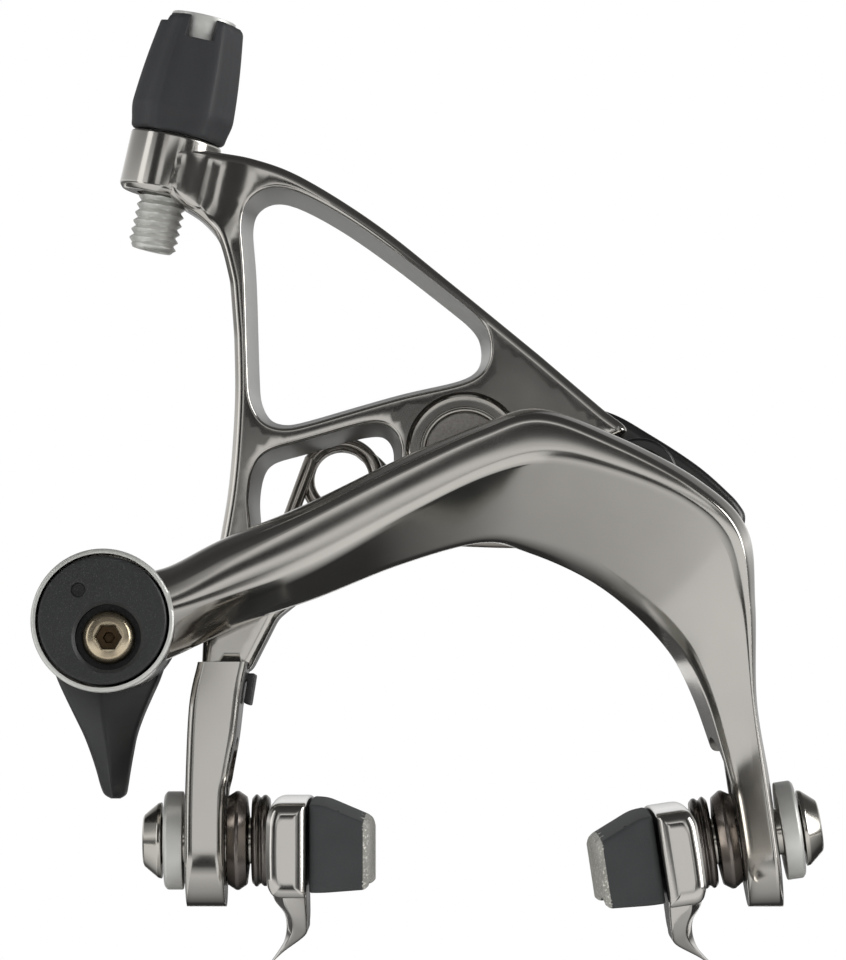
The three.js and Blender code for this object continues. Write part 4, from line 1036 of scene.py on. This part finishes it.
def makePad(pad, near):
    side, far = pad["side"], near + padSet["padDepth"]
    base, face = padSet["padBase"], padSet["padFace"]
    block = [(near, -base), (near + 1.6, -base), (far - 0.5, -face - 0.9), (far, -face - 0.4),
             (far, face - 0.8), (far - 0.5, face - 0.4), (near + 1.6, base + 0.3), (near, base + 0.4)]
    section = softened(block, [0.3, 0.8, 0.3, 0.2, 0.2, 0.3, 0.8, 0.3], closed=True, steps=4)
    body = solid("brake_pad_" + side + "_moulded", alongRim(section, -25, 25, 50, ends=0.7))
    grooves = []
    for y in (-19, -12, -5, 2, 9, 16):  # water grooves across the braking face
        drop = -y * y / (2 * padSet["rimRadius"])
        box = [[Vector((x, y + dy, drop + dz)) for dy, dz in ((-0.6, -9), (0.6, -9), (0.6, 9), (-0.6, 9))]
               for x in (far - 1.1, far + 1)]
        grooves.append(solid("tool", loftMesh(box)))
    corners = ((near + 3.1, 3.4), (near + 4.3, 3.4), (near + 4.3, 6), (near + 3.1, 6))
    notch = [[Vector((x, y, z)) for x, z in corners] for y in (-26, -23.2)]
    grooves.append(solid("tool", loftMesh(notch)))
    combine(body, grooves, "DIFFERENCE")
    settle(body, pad)
    finishPiece(body, padRubber, "pad_" + side, "pad_rubber", "brake_pad_" + side)
    body.data.materials.append(groundRubber)
    towards = onPad(pad).inverted()
    for polygon in body.data.polygons:
        if (towards @ (polygon.center / mm)).x > far - 0.7:
            polygon.material_index = 1


for pad in (leftPad, rightPad):
    makePadStack(pad)
print("pads made")


# Studio: pale floor, soft light and the camera

studio = {"floorDrop": 100.0, "floorRadius": 900.0, "distance": 656.0, "cameraX": -0.6, "cameraZ": -40.5,
          "lens": 206.4, "tilt": 3.33, "yaw": 0.385}


def ramped(tree, source, tones):  # greys at places from 0 to 1 along a value
    ramp = addNode(tree, "ShaderNodeValToRGB", links={"Fac": source})
    ramp.color_ramp.elements.remove(ramp.color_ramp.elements[1])
    for i, (place, tone) in enumerate(tones):
        stop = ramp.color_ramp.elements[0] if i == 0 else ramp.color_ramp.elements.new(place)
        stop.position = place
        stop.color = (tone, tone, tone, 1)
    return ramp.outputs["Color"]


def emission(name, tones):  # a card's brightness from its foot to its top
    material = bpy.data.materials.new(name)
    material.use_nodes = True
    tree = material.node_tree
    tree.nodes.clear()
    place = addNode(tree, "ShaderNodeTexCoord").outputs["Generated"]
    up = addNode(tree, "ShaderNodeSeparateXYZ", links={"Vector": place}).outputs["Y"]
    glow = addNode(tree, "ShaderNodeEmission", links={"Color": ramped(tree, up, tones)})
    addNode(tree, "ShaderNodeOutputMaterial", links={"Surface": glow.outputs["Emission"]})
    return material


def card(name, size, place, turn, tones):
    width, height = size[0] / 2 * mm, size[1] / 2 * mm
    mesh = bpy.data.meshes.new(name)
    mesh.from_pydata([(-width, -height, 0), (width, -height, 0), (width, height, 0), (-width, height, 0)], [],
                     [(0, 1, 2, 3)])
    mesh.materials.append(emission(name, tones))
    panel = bpy.data.objects.new(name, mesh)
    bpy.context.scene.collection.objects.link(panel)
    panel.location = Vector(place) * mm
    panel.rotation_euler = [math.radians(angle) for angle in turn]
    panel.visible_camera = False
    panel.visible_shadow = False
    panel.visible_diffuse = False
    return panel


def areaLight(name, size, place, target, power):
    light = bpy.data.lights.new(name, "AREA")
    light.shape = "RECTANGLE"
    light.size, light.size_y = size[0] * mm, size[1] * mm
    light.energy = power
    lamp = bpy.data.objects.new(name, light)
    bpy.context.scene.collection.objects.link(lamp)
    lamp.location = Vector(place) * mm
    lamp.rotation_euler = (Vector(target) - Vector(place)).to_track_quat("-Z", "Y").to_euler()
    return lamp


def makeStudio(s):
    scene = bpy.context.scene
    floor = solid("floor", revolve([[0, 0], [s["floorRadius"], 0], [s["floorRadius"], -5], [0, -5]], 96))
    floor.location.z = cadBox[0][2] - s["floorDrop"] * mm
    pale = bpy.data.materials.new("paleFloor")
    pale.use_nodes = True
    pale.node_tree.nodes["Principled BSDF"].inputs["Base Color"].default_value = linear("#f2f1ef")
    pale.node_tree.nodes["Principled BSDF"].inputs["Roughness"].default_value = 0.8
    floor.data.materials.append(pale)
    world = bpy.data.worlds.new("studioWorld")
    world.use_nodes = True
    scene.world = world
    tree = world.node_tree
    background = tree.nodes["Background"]
    direction = addNode(tree, "ShaderNodeTexCoord").outputs["Generated"]
    height = addNode(tree, "ShaderNodeSeparateXYZ", links={"Vector": direction}).outputs["Z"]
    share = addNode(tree, "ShaderNodeMapRange", {"From Min": -1.0, "From Max": 1.0}, {"Value": height})
    sky = ramped(tree, share.outputs["Result"], [(0.0, 0.4), (0.4, 0.3), (0.485, 0.12), (0.52, 0.5),
                                                 (0.57, 1.0), (0.66, 0.45), (0.8, 0.08), (1.0, 0.05)])
    mirrored = addNode(tree, "ShaderNodeLightPath").outputs["Is Glossy Ray"]
    shown = addNode(tree, "ShaderNodeMix", {"data_type": "RGBA"}, {"Factor": mirrored, 7: sky})
    shown.inputs[6].default_value = (1, 1, 1, 1)
    tree.links.new(shown.outputs[2], background.inputs["Color"])
    key = areaLight("keyLight", (500, 400), (-500, -500, 700), (0, -15, 0), 5)
    key.visible_glossy = False
    areaLight("fillLight", (300, 600), (700, -200, 200), (0, -15, 0), 3)
    card("frontCard", (700, 800), (0, -1500, 210), (90, 0, 0),
         [(0.0, 0.7), (0.19, 1.05), (0.28, 0.75), (0.34, 0.05), (0.62, 0.0), (0.74, 1.0), (1.0, 0.7)])
    card("lowMiddle", (125, 1500), (-47, -300, -150), (0, 0, 0),
         [(0.0, 0.03), (0.5, 0.04), (0.6, 0.8), (0.68, 0.5), (0.72, 0.25), (0.77, 0.04)])
    card("lowRight", (700, 1500), (365, -300, -150), (0, 0, 0),
         [(0.0, 0.5), (0.3, 1.0), (0.6, 1.0), (0.68, 0.5), (0.72, 0.25), (0.77, 0.04)])
    card("lowLeft", (600, 1500), (-410, -300, -150), (0, 0, 0),
         [(0.0, 0.4), (0.4, 1.0), (0.7, 0.9), (0.8, 0.1)])
    card("leftStrip", (300, 1500), (-1000, -450, 150), (90, 0, -65), [(0.0, 1.5)])
    card("leftDark", (500, 1500), (-800, -1150, 150), (90, 0, -35), [(0.0, 0.04)])
    card("rightStrip", (260, 1500), (1000, -600, 150), (90, 0, 60), [(0.0, 0.8)])
    card("rightDark", (500, 1500), (850, -1100, 150), (90, 0, 38), [(0.0, 0.05)])
    camera = bpy.data.cameras.new("camera")
    camera.lens = s["lens"]
    camera.clip_start, camera.clip_end = 0.01, 20
    eye = bpy.data.objects.new("camera", camera)
    scene.collection.objects.link(eye)
    eye.location = Vector((s["cameraX"], -s["distance"], s["cameraZ"])) * mm
    eye.rotation_euler = (math.radians(90 + s["tilt"]), 0, math.radians(s["yaw"]))
    scene.camera = eye
    scene.view_settings.view_transform = "Standard"


makeStudio(studio)
print("studio made")
